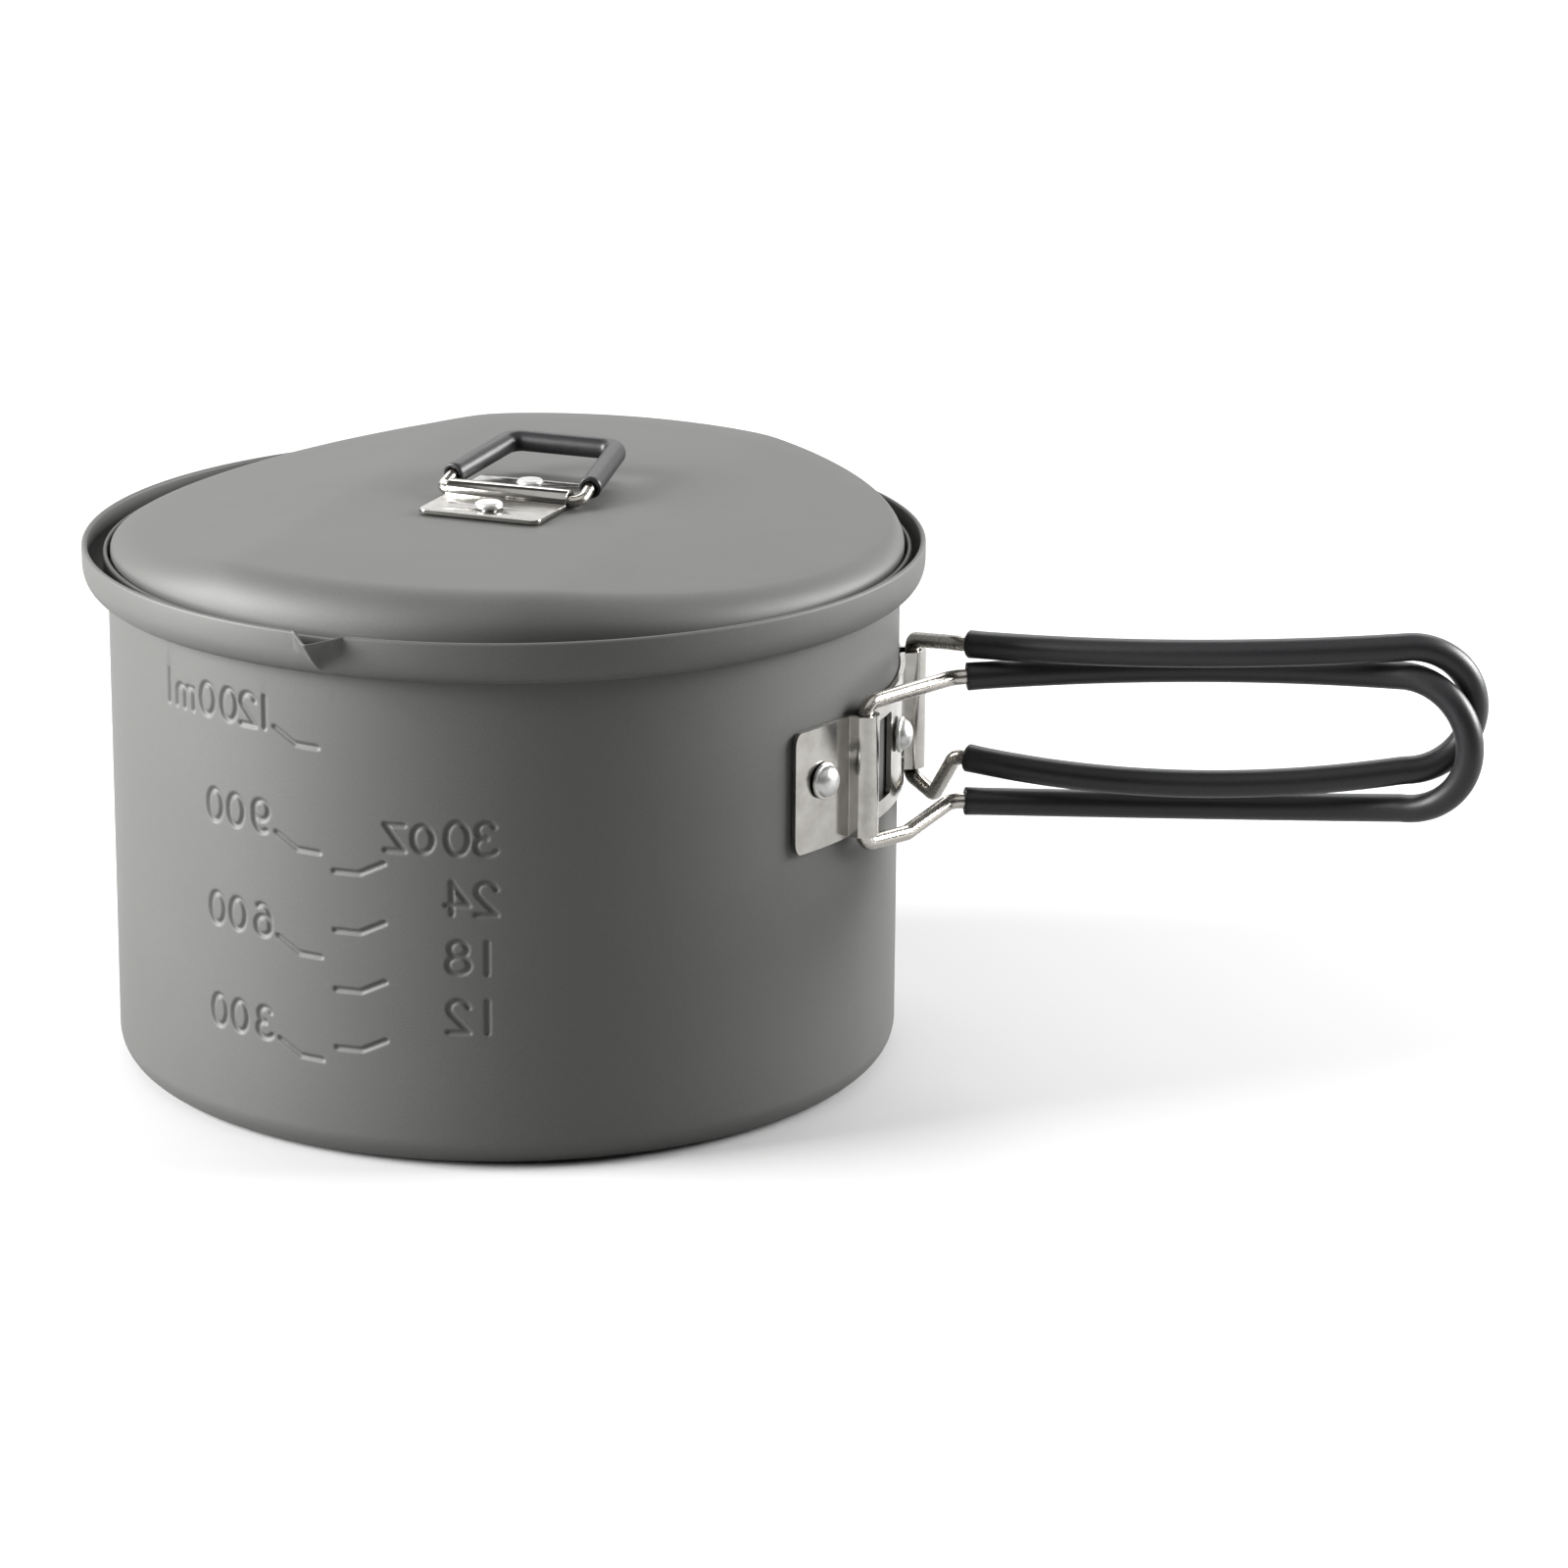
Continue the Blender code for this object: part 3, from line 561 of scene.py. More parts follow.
def strip(path, low, high, corner_radius):
    """Open strip: a plan path (x, y) raised from low to high, with rounded outer corners."""
    bm = bmesh.new()
    rows = [[bm.verts.new((x, y, z)) for x, y in path] for z in (low, high)]
    for k in range(len(path) - 1):
        bm.faces.new((rows[0][k], rows[0][k + 1], rows[1][k + 1], rows[1][k]))
    ends = [row[k] for row in rows for k in (0, -1)]
    bmesh.ops.bevel(bm, geom=ends, offset=corner_radius, segments=10, profile=0.5,
                    affect="VERTICES")
    return bm


def sheet_metal(name, bm, thickness, cutters):
    """Strip made solid, cut, and given softly rounded cut edges."""
    bmesh.ops.recalc_face_normals(bm, faces=bm.faces)
    mesh = bpy.data.meshes.new(name)
    bm.to_mesh(mesh)
    bm.free()

    def add_modifiers(helper):
        shell = helper.modifiers.new("sheet", "SOLIDIFY")
        shell.thickness = thickness
        shell.offset = 0
        shell.use_even_offset = True
        for cutter in cutters:
            hole = helper.modifiers.new("cut", "BOOLEAN")
            hole.operation = "DIFFERENCE"
            hole.object = cutter
        edge = helper.modifiers.new("edge", "BEVEL")
        edge.width = EDGE_ROUND
        edge.segments = 3
        edge.limit_method = "ANGLE"
        edge.angle_limit = radians(50)

    return modified_mesh(name, mesh, add_modifiers)


def plate_frame():
    """World matrix of the hinge plate's frame, on the lid's flat band."""
    return Matrix.Translation((*PLATE_CENTRE, LID_BAND_Z)) @ Matrix.Rotation(
        radians(PLATE_TURN), 4, "Z")


def hinge_height():
    return BAIL_WIRE_R + GAP


def hinge_plate_path():
    """Section of the plate across the hinge: flange, barrel over the wire, flange."""
    barrel_r = BAIL_WIRE_R + GAP + PLATE_SHEET / 2
    flange = GAP + PLATE_SHEET / 2 - hinge_height()
    foot = sqrt(barrel_r ** 2 - flange ** 2)
    start = degrees(atan2(flange, -foot)) % 360
    path = [(-PLATE_HALF_V, flange), (-PLATE_HALF_V / 2, flange), (-foot - 0.0006, flange)]
    path += [(-foot - 0.0003, flange + 0.00008)]
    path += arc((0, 0), barrel_r, start - 14, 180 - start + 14, 24)
    path += [(foot + 0.0003, flange + 0.00008)]
    path += [(foot + 0.0006, flange), (PLATE_HALF_V / 2, flange), (PLATE_HALF_V, flange)]
    return path


def round_cutter(name, start, end, radius):
    bm = bmesh.new()
    bmesh.ops.create_cone(bm, cap_ends=True, segments=40, radius1=radius, radius2=radius,
                          depth=(end - start).length)
    turn = (end - start).to_track_quat("Z", "Y").to_matrix().to_4x4()
    bmesh.ops.transform(bm, matrix=Matrix.Translation((start + end) / 2) @ turn, verts=bm.verts)
    cutter = bpy.data.objects.new(name, finish_mesh(name, bm))
    bpy.context.scene.collection.objects.link(cutter)
    return cutter


def make_hinge_plate(material):
    bm = strip(hinge_plate_path(), -PLATE_HALF_U, PLATE_HALF_U, PLATE_CORNER_R)
    upright = Matrix(((0, 0, 1, 0), (1, 0, 0, 0), (0, 1, 0, hinge_height()), (0, 0, 0, 1)))
    bmesh.ops.transform(bm, matrix=plate_frame() @ upright, verts=bm.verts)
    cutters = []
    for v in (-LID_RIVET_V, LID_RIVET_V):
        cutters.append(round_cutter("plate_hole", plate_frame() @ Vector((0, v, -3 * SHEET)),
                                    plate_frame() @ Vector((0, v, 3 * SHEET)), RIVET_SHANK_R + GAP))
    mesh = sheet_metal("lid_hinge_plate_sheet", bm, PLATE_SHEET, cutters)
    for cutter in cutters:
        bpy.data.objects.remove(cutter)
    return add_piece("lid_hinge_plate_sheet", mesh, material, "lid",
                     ["lid_hinge_plate"])


def wall_arc(start, end, steps):
    radius = WALL_R + GAP + BRACKET_SHEET / 2
    return [polar(radius, start + (end - start) * k / steps).xy for k in range(steps + 1)]


def channel_path(angle):
    """Plan of one channel: up off the wall, round the wire and back to the wall."""
    bend_r = HANDLE_WIRE_R + GAP + BRACKET_SHEET / 2
    foot_out = WALL_R + GAP + BRACKET_SHEET / 2 - HINGE_R + CHANNEL_FOOT_R
    foot_side = bend_r + CHANNEL_FOOT_R
    local = arc((-foot_side, foot_out), CHANNEL_FOOT_R, -90, 0, 5)
    local += arc((0, 0), bend_r, 180, 0, 20)
    local += arc((foot_side, foot_out), CHANNEL_FOOT_R, 180, 270, 5)
    outward, along = polar(1, angle), polar(1, angle + 90)
    return [(outward * (HINGE_R + out) + along * side).xy for side, out in local]


def bracket_path():
    reach = degrees(asin((HANDLE_WIRE_R + GAP + BRACKET_SHEET + CHANNEL_MARGIN) / WALL_R))
    path = wall_arc(-BRACKET_HALF_ANGLE, -CHANNEL_ANGLE - reach, 10)
    path += channel_path(-CHANNEL_ANGLE)
    path += wall_arc(-CHANNEL_ANGLE + reach, CHANNEL_ANGLE - reach, 24)
    path += channel_path(CHANNEL_ANGLE)
    path += wall_arc(CHANNEL_ANGLE + reach, BRACKET_HALF_ANGLE, 10)
    return path


def window_cutter(side):
    """Wedge that looks out from the pot's axis, with its upright edges rounded off."""
    near, far = (side * angle for angle in WINDOW_ANGLES)
    bm = bmesh.new()
    rows = []
    for z in (WINDOW_LOW_Z, WINDOW_HIGH_Z):
        outline = [polar(WALL_R - SHEET, near, z), polar(WALL_R - SHEET, far, z),
                   polar(WALL_R + 4 * SHEET, far, z), polar(WALL_R + 4 * SHEET, near, z)]
        rows.append([bm.verts.new(point) for point in outline])
    bm.faces.new(rows[0])
    bm.faces.new(rows[1])
    for k in range(4):
        following = (k + 1) % 4
        bm.faces.new((rows[0][k], rows[0][following], rows[1][following], rows[1][k]))
    radial = [edge for edge in bm.edges
              if abs(edge.verts[0].co.xy.length - edge.verts[1].co.xy.length) > SHEET]
    bmesh.ops.bevel(bm, geom=radial, offset=0.0010, segments=8, profile=0.5, affect="EDGES")
    cutter = bpy.data.objects.new("window", finish_mesh("window", bm))
    bpy.context.scene.collection.objects.link(cutter)
    return cutter


def make_bracket(material):
    bm = strip(bracket_path(), BRACKET_LOW_Z, BRACKET_HIGH_Z, BRACKET_CORNER_R)
    cutters = [window_cutter(-1), window_cutter(1)]
    cutters += [round_cutter("bracket_hole", start, end, RIVET_SHANK_R + GAP)
                for start, end in bracket_hole_lines()]
    mesh = sheet_metal("handle_bracket_sheet", bm, BRACKET_SHEET, cutters)
    for cutter in cutters:
        bpy.data.objects.remove(cutter)
    return add_piece("handle_bracket_sheet", mesh, material, "pot",
                     ["handle_bracket"])


# ---- rivets --------------------------------------------------------------------------------

def dome_rivet_section(head_r, head_h, grip, tail_r, tail_h):
    """Half section about the shank: a domed head on a thin collar, shank, rolled tail."""
    collar_h = head_h * 0.26
    dome_r = head_r * 0.86
    section = [(dome_r * sin(radians(a)), collar_h + (head_h - collar_h) * cos(radians(a)))
               for a in range(0, 90, 6)]
    section += [(dome_r + 0.00004, collar_h + 0.00006), (dome_r + 0.00012, collar_h)]
    section += arc((head_r - 0.00025, collar_h - 0.00025), 0.00025, 90, 0, 5)
    section += [(head_r, 0.00008), (head_r - 0.00008, 0), (RIVET_SHANK_R, 0)]
    section += [(RIVET_SHANK_R, -grip), (tail_r, -grip)]
    section += arc((tail_r - 0.0003, -grip - tail_h + 0.0003), 0.0003, 0, -90, 5)
    section += [(0, -grip - tail_h)]
    return section


def flat_rivet_section(head_r, head_h, grip, tail_r, tail_h):
    """Half section: a low head, flat on top with a rounded edge and a faint dish."""
    edge = head_h * 0.62
    section = [(0, head_h - 0.00005), (head_r * 0.45, head_h - 0.00003), (head_r * 0.62, head_h)]
    section += arc((head_r - edge, head_h - edge), edge, 90, 0, 10)
    section += [(head_r, 0.00006), (head_r - 0.00006, 0), (RIVET_SHANK_R, 0)]
    section += [(RIVET_SHANK_R, -grip), (tail_r, -grip)]
    section += arc((tail_r - 0.0002, -grip - tail_h + 0.0002), 0.0002, 0, -90, 5)
    section += [(0, -grip - tail_h)]
    return section


def turned_mesh(name, section, seat, direction, steps=48):
    bm = bmesh.new()
    verts = [bm.verts.new((r, 0, z)) for r, z in section]
    edges = [bm.edges.new(pair) for pair in zip(verts, verts[1:])]
    bmesh.ops.spin(bm, geom=verts + edges, cent=(0, 0, 0), axis=(0, 0, 1), angle=2 * pi,
                   steps=steps, use_merge=True)
    bmesh.ops.remove_doubles(bm, verts=bm.verts, dist=0.000001)
    turn = Vector(direction).to_track_quat("Z", "Y").to_matrix().to_4x4()
    bmesh.ops.transform(bm, matrix=Matrix.Translation(seat) @ turn, verts=bm.verts)
    return finish_mesh(name, bm, 35)


def make_rivets(material):
    seat_r = WALL_R + GAP + BRACKET_SHEET + GAP
    grip = seat_r - WALL_R + SHEET + GAP
    section = dome_rivet_section(RIVET_HEAD_R, RIVET_HEAD_H, grip, 0.0030, 0.0010)
    for place, angle in (("front", -RIVET_ANGLE), ("centre", 0.0), ("rear", RIVET_ANGLE)):
        name = f"bracket_rivet_{place}_head"
        mesh = turned_mesh(name, section, polar(seat_r, angle, RIVET_Z), polar(1, angle))
        add_piece(name, mesh, material, "pot", [f"bracket_rivet_{place}"])
    seat_z = GAP + PLATE_SHEET + GAP
    grip = seat_z + SHEET + GAP
    section = flat_rivet_section(LID_RIVET_HEAD_R, 0.0010, grip, 0.0024, 0.0006)
    for place, v in (("front", -LID_RIVET_V), ("rear", LID_RIVET_V)):
        name = f"lid_rivet_{place}_head"
        mesh = turned_mesh(name, section, plate_frame() @ Vector((0, v, seat_z)), (0, 0, 1))
        add_piece(name, mesh, material, "lid", [f"lid_rivet_{place}"])


# ---- wires and sleeves ---------------------------------------------------------------------

WIRE_SIDES = 32
SLEEVE_SIDES = 40
WIRE_STEP = 0.0012               # longest span between rings
SLEEVE_STEP = 0.0010
LEAST_STEP = 0.00004             # shortest
LIP_STRETCH = 0.0031             # sleeve's length at each end with rings of its own


def frames_along(points):
    """A steady pair of side directions at each point of a path."""
    count = len(points)
    tangents = [(points[min(k + 1, count - 1)] - points[max(k - 1, 0)]).normalized()
                for k in range(count)]
    side = tangents[0].orthogonal().normalized()
    frames = []
    for tangent in tangents:
        side = (side - tangent * side.dot(tangent)).normalized()
        frames.append((side, tangent.cross(side)))
    return frames


def tube_mesh(name, path, frames, radii, sides, closed, sharp_angle):
    """Rings along a path. A closed one joins its last ring to its first, others are capped."""
    bm = bmesh.new()
    rings = []
    for point, (side, up), radius in zip(path, frames, radii):
        rings.append([bm.verts.new(point + (side * cos(a) + up * sin(a)) * radius)
                      for a in (2 * pi * j / sides for j in range(sides))])
    following_rings = rings[1:] + rings[:1] if closed else rings[1:]
    for first, second in zip(rings, following_rings):
        for j in range(sides):
            following = (j + 1) % sides
            bm.faces.new((first[j], first[following], second[following], second[j]))
    if not closed:
        bm.faces.new(rings[0])
        bm.faces.new(rings[-1])
    return finish_mesh(name, bm, sharp_angle)


def densify(points, step):
    """The same path with extra points, so that no span is longer than a step."""
    dense = [points[0]]
    for start, end in zip(points, points[1:]):
        parts = max(1, ceil((end - start).length / step))
        dense += [start.lerp(end, k / parts) for k in range(1, parts + 1)]
    return dense


def trim_close(points, least):
    """Drops points that lie closer to the one before than a least distance."""
    kept = [points[0]]
    for point in points[1:]:
        if (point - kept[-1]).length > least:
            kept.append(point)
    return kept


def wire_mesh(name, points, radius):
    """Round wire with slightly rounded cut ends."""
    points = trim_close(densify(points, WIRE_STEP), LEAST_STEP)
    rounding = radius * 0.25
    head = points[0] + (points[1] - points[0]).normalized() * rounding
    tail = points[-1] + (points[-2] - points[-1]).normalized() * rounding
    path = [points[0], head] + points[1:-1] + [tail, points[-1]]
    radii = [radius - rounding] + [radius] * (len(path) - 2) + [radius - rounding]
    return tube_mesh(name, path, frames_along(path), radii, WIRE_SIDES, False, 50)


def sleeve_mesh(name, points, radius, wall, swell):
    """Vinyl tube, open at both ends, whose cut ends are rounded and swell a little."""
    points = trim_close(densify(points, SLEEVE_STEP), LEAST_STEP)
    lip = wall * 0.30
    starts = [0.0, lip * 0.35, lip, 0.0012, 0.0028]
    first_leg = (points[1] - points[0]).normalized()
    last_leg = (points[-2] - points[-1]).normalized()
    between = [point for point in points if (point - points[0]).length > LIP_STRETCH
               and (point - points[-1]).length > LIP_STRETCH]
    head = [points[0] + first_leg * distance for distance in starts]
    tail = [points[-1] + last_leg * distance for distance in reversed(starts)]
    middle = head + between + tail
    path = middle + middle[::-1]
    end_radii = [radius - lip, radius - lip * 0.3, radius + swell, radius + swell * 0.5, radius]
    bore = radius - wall
    radii = end_radii + [radius] * len(between) + end_radii[::-1]
    radii += [bore + lip * 0.3] + [bore] * (len(middle) - 2) + [bore + lip * 0.3]
    frames = frames_along(middle)
    return tube_mesh(name, path, frames + frames[::-1], radii, SLEEVE_SIDES, True, 60)


def bail_points():
    """Wire's centre line from one end in the barrel to the other, and the sleeve's stretch."""
    level = hinge_height()
    half = [((0.0020, 0, level), 0),
            ((BAIL_FOOT[0] + 0.0003, 0, level), 0.0020),
            ((BAIL_FOOT[0], BAIL_FOOT[1], level + BAIL_FOOT[2]), 0),
            ((BAIL_FAR[0], BAIL_FAR[1], level + BAIL_FAR[2]), 0.0032)]
    mirrored = [((-x, y, z), radius) for (x, y, z), radius in reversed(half)]
    steps = 12
    points = [plate_frame() @ point for point in round_corners(half + mirrored, steps)]
    foot = 1 + steps + 1
    return points, points[foot:len(points) - foot]


def make_bail(steel, vinyl):
    wire, grip = bail_points()
    mesh = wire_mesh("bail_wire", wire, BAIL_WIRE_R)
    add_piece("bail_wire", mesh, steel, "lid_handle", ["lid_handle_wire"])
    mesh = sleeve_mesh("bail_sleeve", grip, BAIL_SLEEVE_R, BAIL_SLEEVE_R - BAIL_WIRE_R - GAP,
                       0.00004)
    add_piece("bail_sleeve", mesh, vinyl, "lid_handle", ["lid_handle_sleeve"])


def bow_y(x, side):
    """Plan of the bowed grip: each loop bows across to the other loop's side."""
    return -side * (BOW_Y - (x - BOW_X) ** 2 / BOW_WIDTH)


def grip_points(loop):
    """Centre line of the sleeved stretch, from the top leg round the end to the lower leg."""
    def top_z(x):
        return loop["top_z"] + loop["top_rise"] * (x - BEND_X)

    def low_z(x):
        return loop["low_z"] + loop["low_curve"] * (x - loop["low_x"]) ** 2

    end_x = HANDLE_END_X - 0.012
    radius = (top_z(end_x) - low_z(end_x)) / 2
    centre_x = HANDLE_END_X - radius
    centre_z = top_z(centre_x) - radius
    straights = [SLEEVE_X + (centre_x - SLEEVE_X) * k / 60 for k in range(60)]
    rows = [(x, top_z(x)) for x in straights]
    rows += arc((centre_x, centre_z), radius, 90, -90, 48)
    rows += [(x, low_z(x)) for x in reversed(straights)]
    return [Vector((x, bow_y(x, loop["side"]), z)) for x, z in rows]


def loop_points(loop):
    """Whole wire: up the channel, out, round the grip, back, and up into the channel again."""
    side = loop["side"]
    hinge = polar(HINGE_R, side * CHANNEL_ANGLE)
    middle_z = (BRACKET_LOW_Z + BRACKET_HIGH_Z) / 2
    grip = grip_points(loop)
    bend_y = bow_y(BEND_X, side)
    crank_x, crank_y, crank_z = loop["crank"]
    leg_step = (grip[-1].x - grip[-2].x) / (grip[-1].x - BEND_X)
    drop = (grip[-2].z - grip[-1].z) / leg_step if side < 0 else 0.0
    low_bend_z = grip[-1].z + drop
    lead_in = [((hinge.x, hinge.y, middle_z + GAP), 0),
               ((hinge.x, hinge.y, loop["hinge_top_z"]), 0.0025),
               ((BEND_X, bend_y, loop["top_z"]), 0.0050),
               (grip[0], 0)]
    lead_out = [(grip[-1], 0),
                ((BEND_X, bend_y, low_bend_z), 0.0040),
                ((crank_x, side * crank_y, crank_z), 0.0030),
                ((hinge.x, hinge.y, loop["hinge_low_z"]), 0.0020),
                ((hinge.x, hinge.y, middle_z - GAP), 0)]
    return round_corners(lead_in) + grip[1:-1] + round_corners(lead_out)


def make_handle(name, loop, steel, vinyl):
    body = f"{name}_handle"
    mesh = wire_mesh(f"{name}_loop_wire", loop_points(loop), HANDLE_WIRE_R)
    add_piece(f"{name}_loop_wire", mesh, steel, body, [f"{name}_handle_wire"])
    mesh = sleeve_mesh(f"{name}_loop_sleeve", grip_points(loop), HANDLE_SLEEVE_R, SLEEVE_WALL,
                       0.00006)
    add_piece(f"{name}_loop_sleeve", mesh, vinyl, body, [f"{name}_handle_sleeve"])


# ---- materials -----------------------------------------------------------------------------

class Shader:
    """A Principled material under construction, with short calls for its nodes."""

    def __init__(self, name):
        self.material = bpy.data.materials.new(name)
        self.material.use_nodes = True
        self.tree = self.material.node_tree
        self.principled = self.tree.nodes["Principled BSDF"]
        self.coordinates = self.node("ShaderNodeTexCoord").outputs["Object"]

    def node(self, kind, **inputs):
        made = self.tree.nodes.new(kind)
        for name, value in inputs.items():
            self.put(made.inputs[name.replace("_", " ")], value)
        return made

    def put(self, socket, value):
        if isinstance(value, bpy.types.NodeSocket):
            self.tree.links.new(value, socket)
        else:
            socket.default_value = value

    def set(self, name, value):
        self.put(self.principled.inputs[name], value)

    def noise(self, scale, detail=3.0, roughness=0.55, stretch=(1, 1, 1)):
        """Noise in the row frame; a stretch above 1 along an axis makes it finer there."""
        mapping = self.node("ShaderNodeMapping", Vector=self.coordinates, Scale=stretch)
        made = self.node("ShaderNodeTexNoise", Vector=mapping.outputs["Vector"], Scale=scale,
                         Detail=detail, Roughness=roughness)
        return made.outputs["Fac"]

    def ramp(self, value, low, high, from_low=0.0, from_high=1.0):
        made = self.node("ShaderNodeMapRange", Value=value)
        made.inputs["From Min"].default_value = from_low
        made.inputs["From Max"].default_value = from_high
        made.inputs["To Min"].default_value = low
        made.inputs["To Max"].default_value = high
        return made.outputs["Result"]

    def mix(self, share, first, second):
        made = self.tree.nodes.new("ShaderNodeMix")
        made.data_type = "RGBA"
        self.put(made.inputs["Factor"], share)
        self.put(made.inputs[6], first)
        self.put(made.inputs[7], second)
        return made.outputs[2]

    def bump(self, height, strength, distance, under=None):
        made = self.node("ShaderNodeBump", Height=height, Strength=strength, Distance=distance)
        if under is not None:
            self.put(made.inputs["Normal"], under)
        return made.outputs["Normal"]


def anodised_material():
    """Hard-anodised aluminium: grey oxide with an even fine grain and faint clouding."""
    shader = Shader("hard_anodised_aluminium")
    grain = shader.noise(5200, 2.0, 0.6)
    cloud = shader.noise(42, 3.0, 0.5)
    speck = shader.noise(1500, 1.0, 0.5)
    base = shader.mix(shader.ramp(cloud, 0.0, 1.0, 0.3, 0.7), (0.0615, 0.0618, 0.0590, 1),
                      (0.0690, 0.0694, 0.0660, 1))
    tone = shader.mix(shader.ramp(grain, 0.0, 1.0, 0.35, 0.65), (0.0540, 0.0542, 0.0515, 1), base)
    shader.set("Base Color", tone)
    shader.set("Metallic", 0.30)
    shader.set("Roughness", shader.ramp(cloud, 0.60, 0.66, 0.3, 0.7))
    coarse = shader.bump(speck, 0.10, 0.00006)
    shader.set("Normal", shader.bump(grain, 0.16, 0.00004, coarse))
    return shader.material


def steel_sheet_material():
    """Polished stainless sheet: a bright mirror blurred by faint rolling marks and scuffs."""
    shader = Shader("polished_stainless_sheet")
    rolled = shader.noise(900, 3.0, 0.6, stretch=(1, 1, 0.08))
    scuff = shader.noise(260, 4.0, 0.65)
    shader.set("Base Color", shader.mix(shader.ramp(scuff, 0, 1, 0.4, 0.7),
                                        (0.36, 0.35, 0.33, 1), (0.28, 0.27, 0.25, 1)))
    shader.set("Metallic", 1.0)
    shader.set("Roughness", shader.ramp(scuff, 0.13, 0.20, 0.35, 0.7))
    dents = shader.bump(scuff, 0.04, 0.0002)
    shader.set("Normal", shader.bump(rolled, 0.03, 0.00008, dents))
    return shader.material


def steel_wire_material():
    """Bright drawn wire with faint die lines and the odd tool mark."""
    shader = Shader("bright_stainless_wire")
    drawn = shader.noise(2400, 2.0, 0.5)
    tool = shader.noise(520, 2.0, 0.5)
    marks = shader.ramp(tool, 0.0, 1.0, 0.62, 0.72)
    shader.set("Base Color", shader.mix(marks, (0.40, 0.38, 0.35, 1), (0.24, 0.23, 0.21, 1)))
    shader.set("Metallic", 1.0)
    shader.set("Roughness", shader.ramp(drawn, 0.20, 0.32, 0.3, 0.7))
    scratches = shader.bump(marks, 0.12, 0.00005)
    shader.set("Normal", shader.bump(drawn, 0.04, 0.00003, scratches))
    return shader.material


def rivet_material():
    """Satin aluminium rivets, lightly peened."""
    shader = Shader("satin_rivet_aluminium")
    peen = shader.noise(1400, 3.0, 0.6)
    shader.set("Base Color", shader.mix(shader.ramp(peen, 0, 1, 0.35, 0.65),
                                        (0.42, 0.42, 0.41, 1), (0.50, 0.50, 0.49, 1)))
    shader.set("Metallic", 0.95)
    shader.set("Roughness", shader.ramp(peen, 0.36, 0.46, 0.3, 0.7))
    shader.set("Normal", shader.bump(peen, 0.22, 0.00008))
    return shader.material


def vinyl_material():
    """Dipped black vinyl: deep black, semi-gloss, with a soft orange-peel ripple."""
    shader = Shader("black_vinyl")
    ripple = shader.noise(420, 2.0, 0.5)
    dust = shader.noise(3200, 2.0, 0.6)
    shader.set("Base Color", shader.mix(shader.ramp(dust, 0, 1, 0.45, 0.75),
                                        (0.008, 0.008, 0.009, 1), (0.013, 0.013, 0.014, 1)))
    shader.set("Roughness", shader.ramp(dust, 0.36, 0.46, 0.3, 0.7))
    shader.set("Specular IOR Level", 0.32)
    shader.set("Normal", shader.bump(ripple, 0.10, 0.00025))
    return shader.material


# ---- stage ---------------------------------------------------------------------------------

CAMERA_DISTANCE = 0.9769
CAMERA_HEIGHT = 0.3436
CAMERA_PITCH = 16.79
CAMERA_YAW = 2.999
CAMERA_ROLL = 0.448
VIEW_TURN = 15.0                 # the handles point this much away from straight sideways
FOCAL_LENGTH = 126.8


def add_camera():
    pitch, yaw, roll = radians(CAMERA_PITCH), radians(CAMERA_YAW), radians(CAMERA_ROLL)
    forward = Vector((sin(yaw) * cos(pitch), cos(yaw) * cos(pitch), -sin(pitch)))
    level = Vector((cos(yaw), -sin(yaw), 0))
    right = cos(roll) * level + sin(roll) * level.cross(forward)
    up = right.cross(forward)
    turn = Matrix.Rotation(radians(VIEW_TURN), 3, "Z")
    axes = Matrix((turn @ right, turn @ up, turn @ -forward)).transposed()
    place = turn @ Vector((0, -CAMERA_DISTANCE, CAMERA_HEIGHT))
    data = bpy.data.cameras.new("camera")
    data.lens = FOCAL_LENGTH
    data.sensor_width = 36
    data.clip_start = 0.01
    camera = bpy.data.objects.new("camera", data)
    camera.matrix_world = Matrix.Translation(place) @ axes.to_4x4()
    bpy.context.scene.collection.objects.link(camera)
    bpy.context.scene.camera = camera


def seen_from(azimuth, elevation, distance):
    """Place around the pot: azimuth 0 is the camera's side, positive to its right."""
    around = radians(VIEW_TURN + azimuth - 90)
    flat = distance * cos(radians(elevation))
    return Vector((flat * cos(around), flat * sin(around), distance * sin(radians(elevation))))


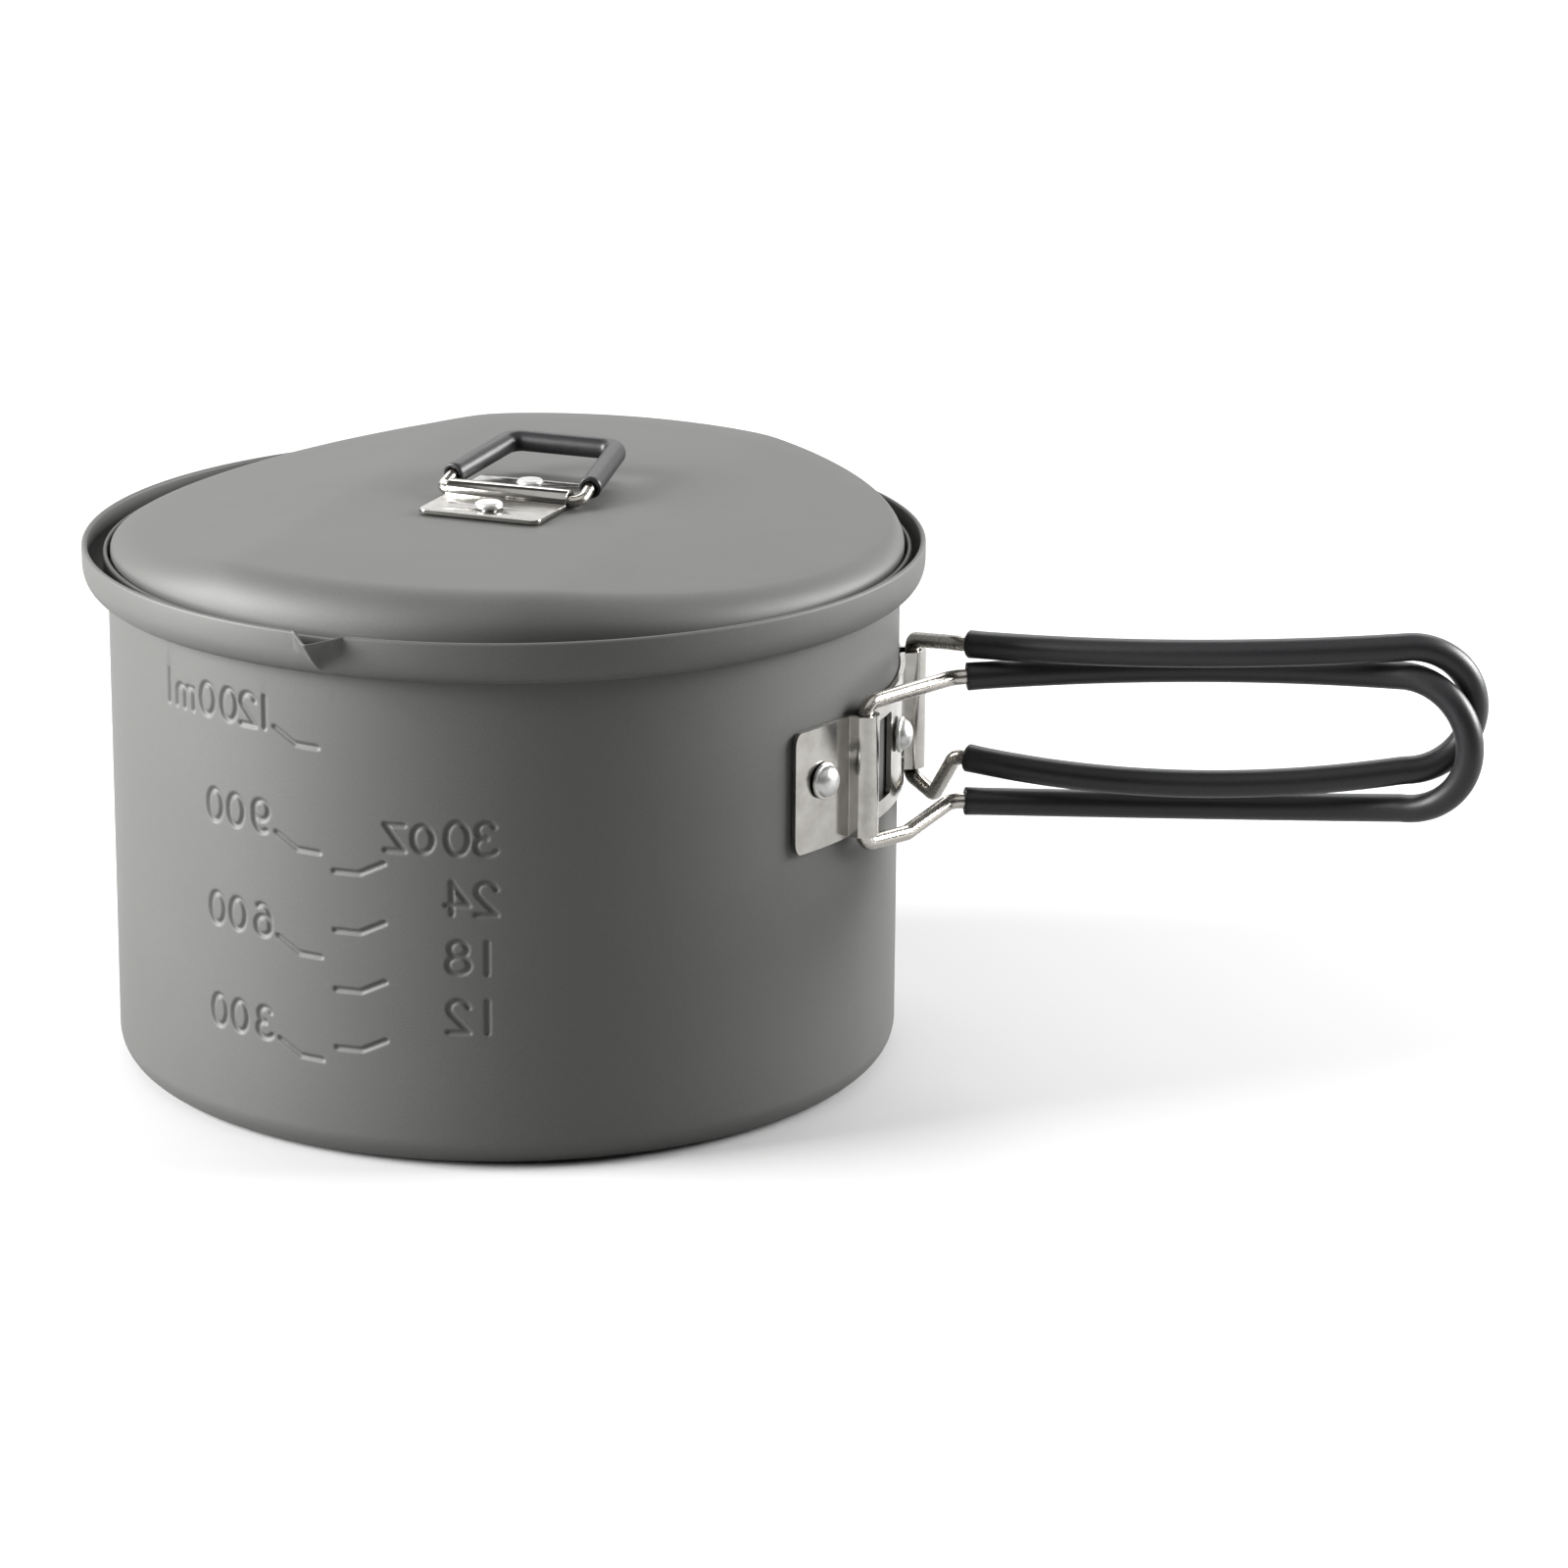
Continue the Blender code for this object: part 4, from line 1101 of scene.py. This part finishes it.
def add_softbox(name, azimuth, elevation, distance, width, height, radiance, aim=(0, 0, 0.06)):
    """Rectangular lamp that faces a point, as bright as its radiance says."""
    data = bpy.data.lights.new(name, "AREA")
    data.shape = "RECTANGLE"
    data.size = width
    data.size_y = height
    data.energy = radiance * pi * width * height
    lamp = bpy.data.objects.new(name, data)
    lamp.location = seen_from(azimuth, elevation, distance)
    ray = Vector(aim) - lamp.location
    lamp.rotation_euler = ray.to_track_quat("-Z", "Y").to_euler()
    bpy.context.scene.collection.objects.link(lamp)


def floor_material():
    shader = Shader("pale_floor")
    mottle = shader.noise(3.0, 2.0, 0.5)
    shader.set("Base Color", shader.mix(mottle, (0.36, 0.36, 0.36, 1), (0.38, 0.38, 0.38, 1)))
    shader.set("Roughness", 0.9)
    return shader.material


def add_floor():
    mesh = bpy.data.meshes.new("floor")
    half = 6.0
    mesh.from_pydata([(-half, -half, 0), (half, -half, 0), (half, half, 0), (-half, half, 0)], [],
                     [(0, 1, 2, 3)])
    mesh.materials.append(floor_material())
    floor = bpy.data.objects.new("floor", mesh)
    floor.location.z = -0.0001
    bpy.context.scene.collection.objects.link(floor)


def set_world():
    world = bpy.data.worlds.new("studio")
    world.use_nodes = True
    background = world.node_tree.nodes["Background"]
    background.inputs["Color"].default_value = (1.0, 1.0, 1.0, 1)
    background.inputs["Strength"].default_value = 0.10
    bpy.context.scene.world = world


def set_stage():
    add_camera()
    add_floor()
    set_world()
    add_softbox("left_softbox", -82, 24, 0.95, 0.56, 0.50, 45.0)
    add_softbox("right_softbox", 99, 24, 1.00, 0.55, 0.45, 36.0)
    add_softbox("rear_softbox", 180, 30, 1.6, 2.4, 1.3, 1.35)
    add_softbox("top_softbox", 0, 68, 0.95, 1.3, 1.0, 1.0)
    add_softbox("far_floor_softbox", 180, 42, 1.9, 2.6, 1.0, 6.5, seen_from(180, 0, 1.9))
    bpy.context.scene.view_settings.view_transform = "Standard"


# ---- assembly ------------------------------------------------------------------------------

def make_object():
    anodised = anodised_material()
    sheet = steel_sheet_material()
    wire = steel_wire_material()
    rivet = rivet_material()
    vinyl = vinyl_material()
    make_pot(anodised)
    make_lid(anodised)
    make_hinge_plate(sheet)
    make_bracket(sheet)
    make_rivets(rivet)
    make_bail(wire, vinyl)
    make_handle("front", FRONT_LOOP, wire, vinyl)
    make_handle("rear", REAR_LOOP, wire, vinyl)


make_object()
set_stage()
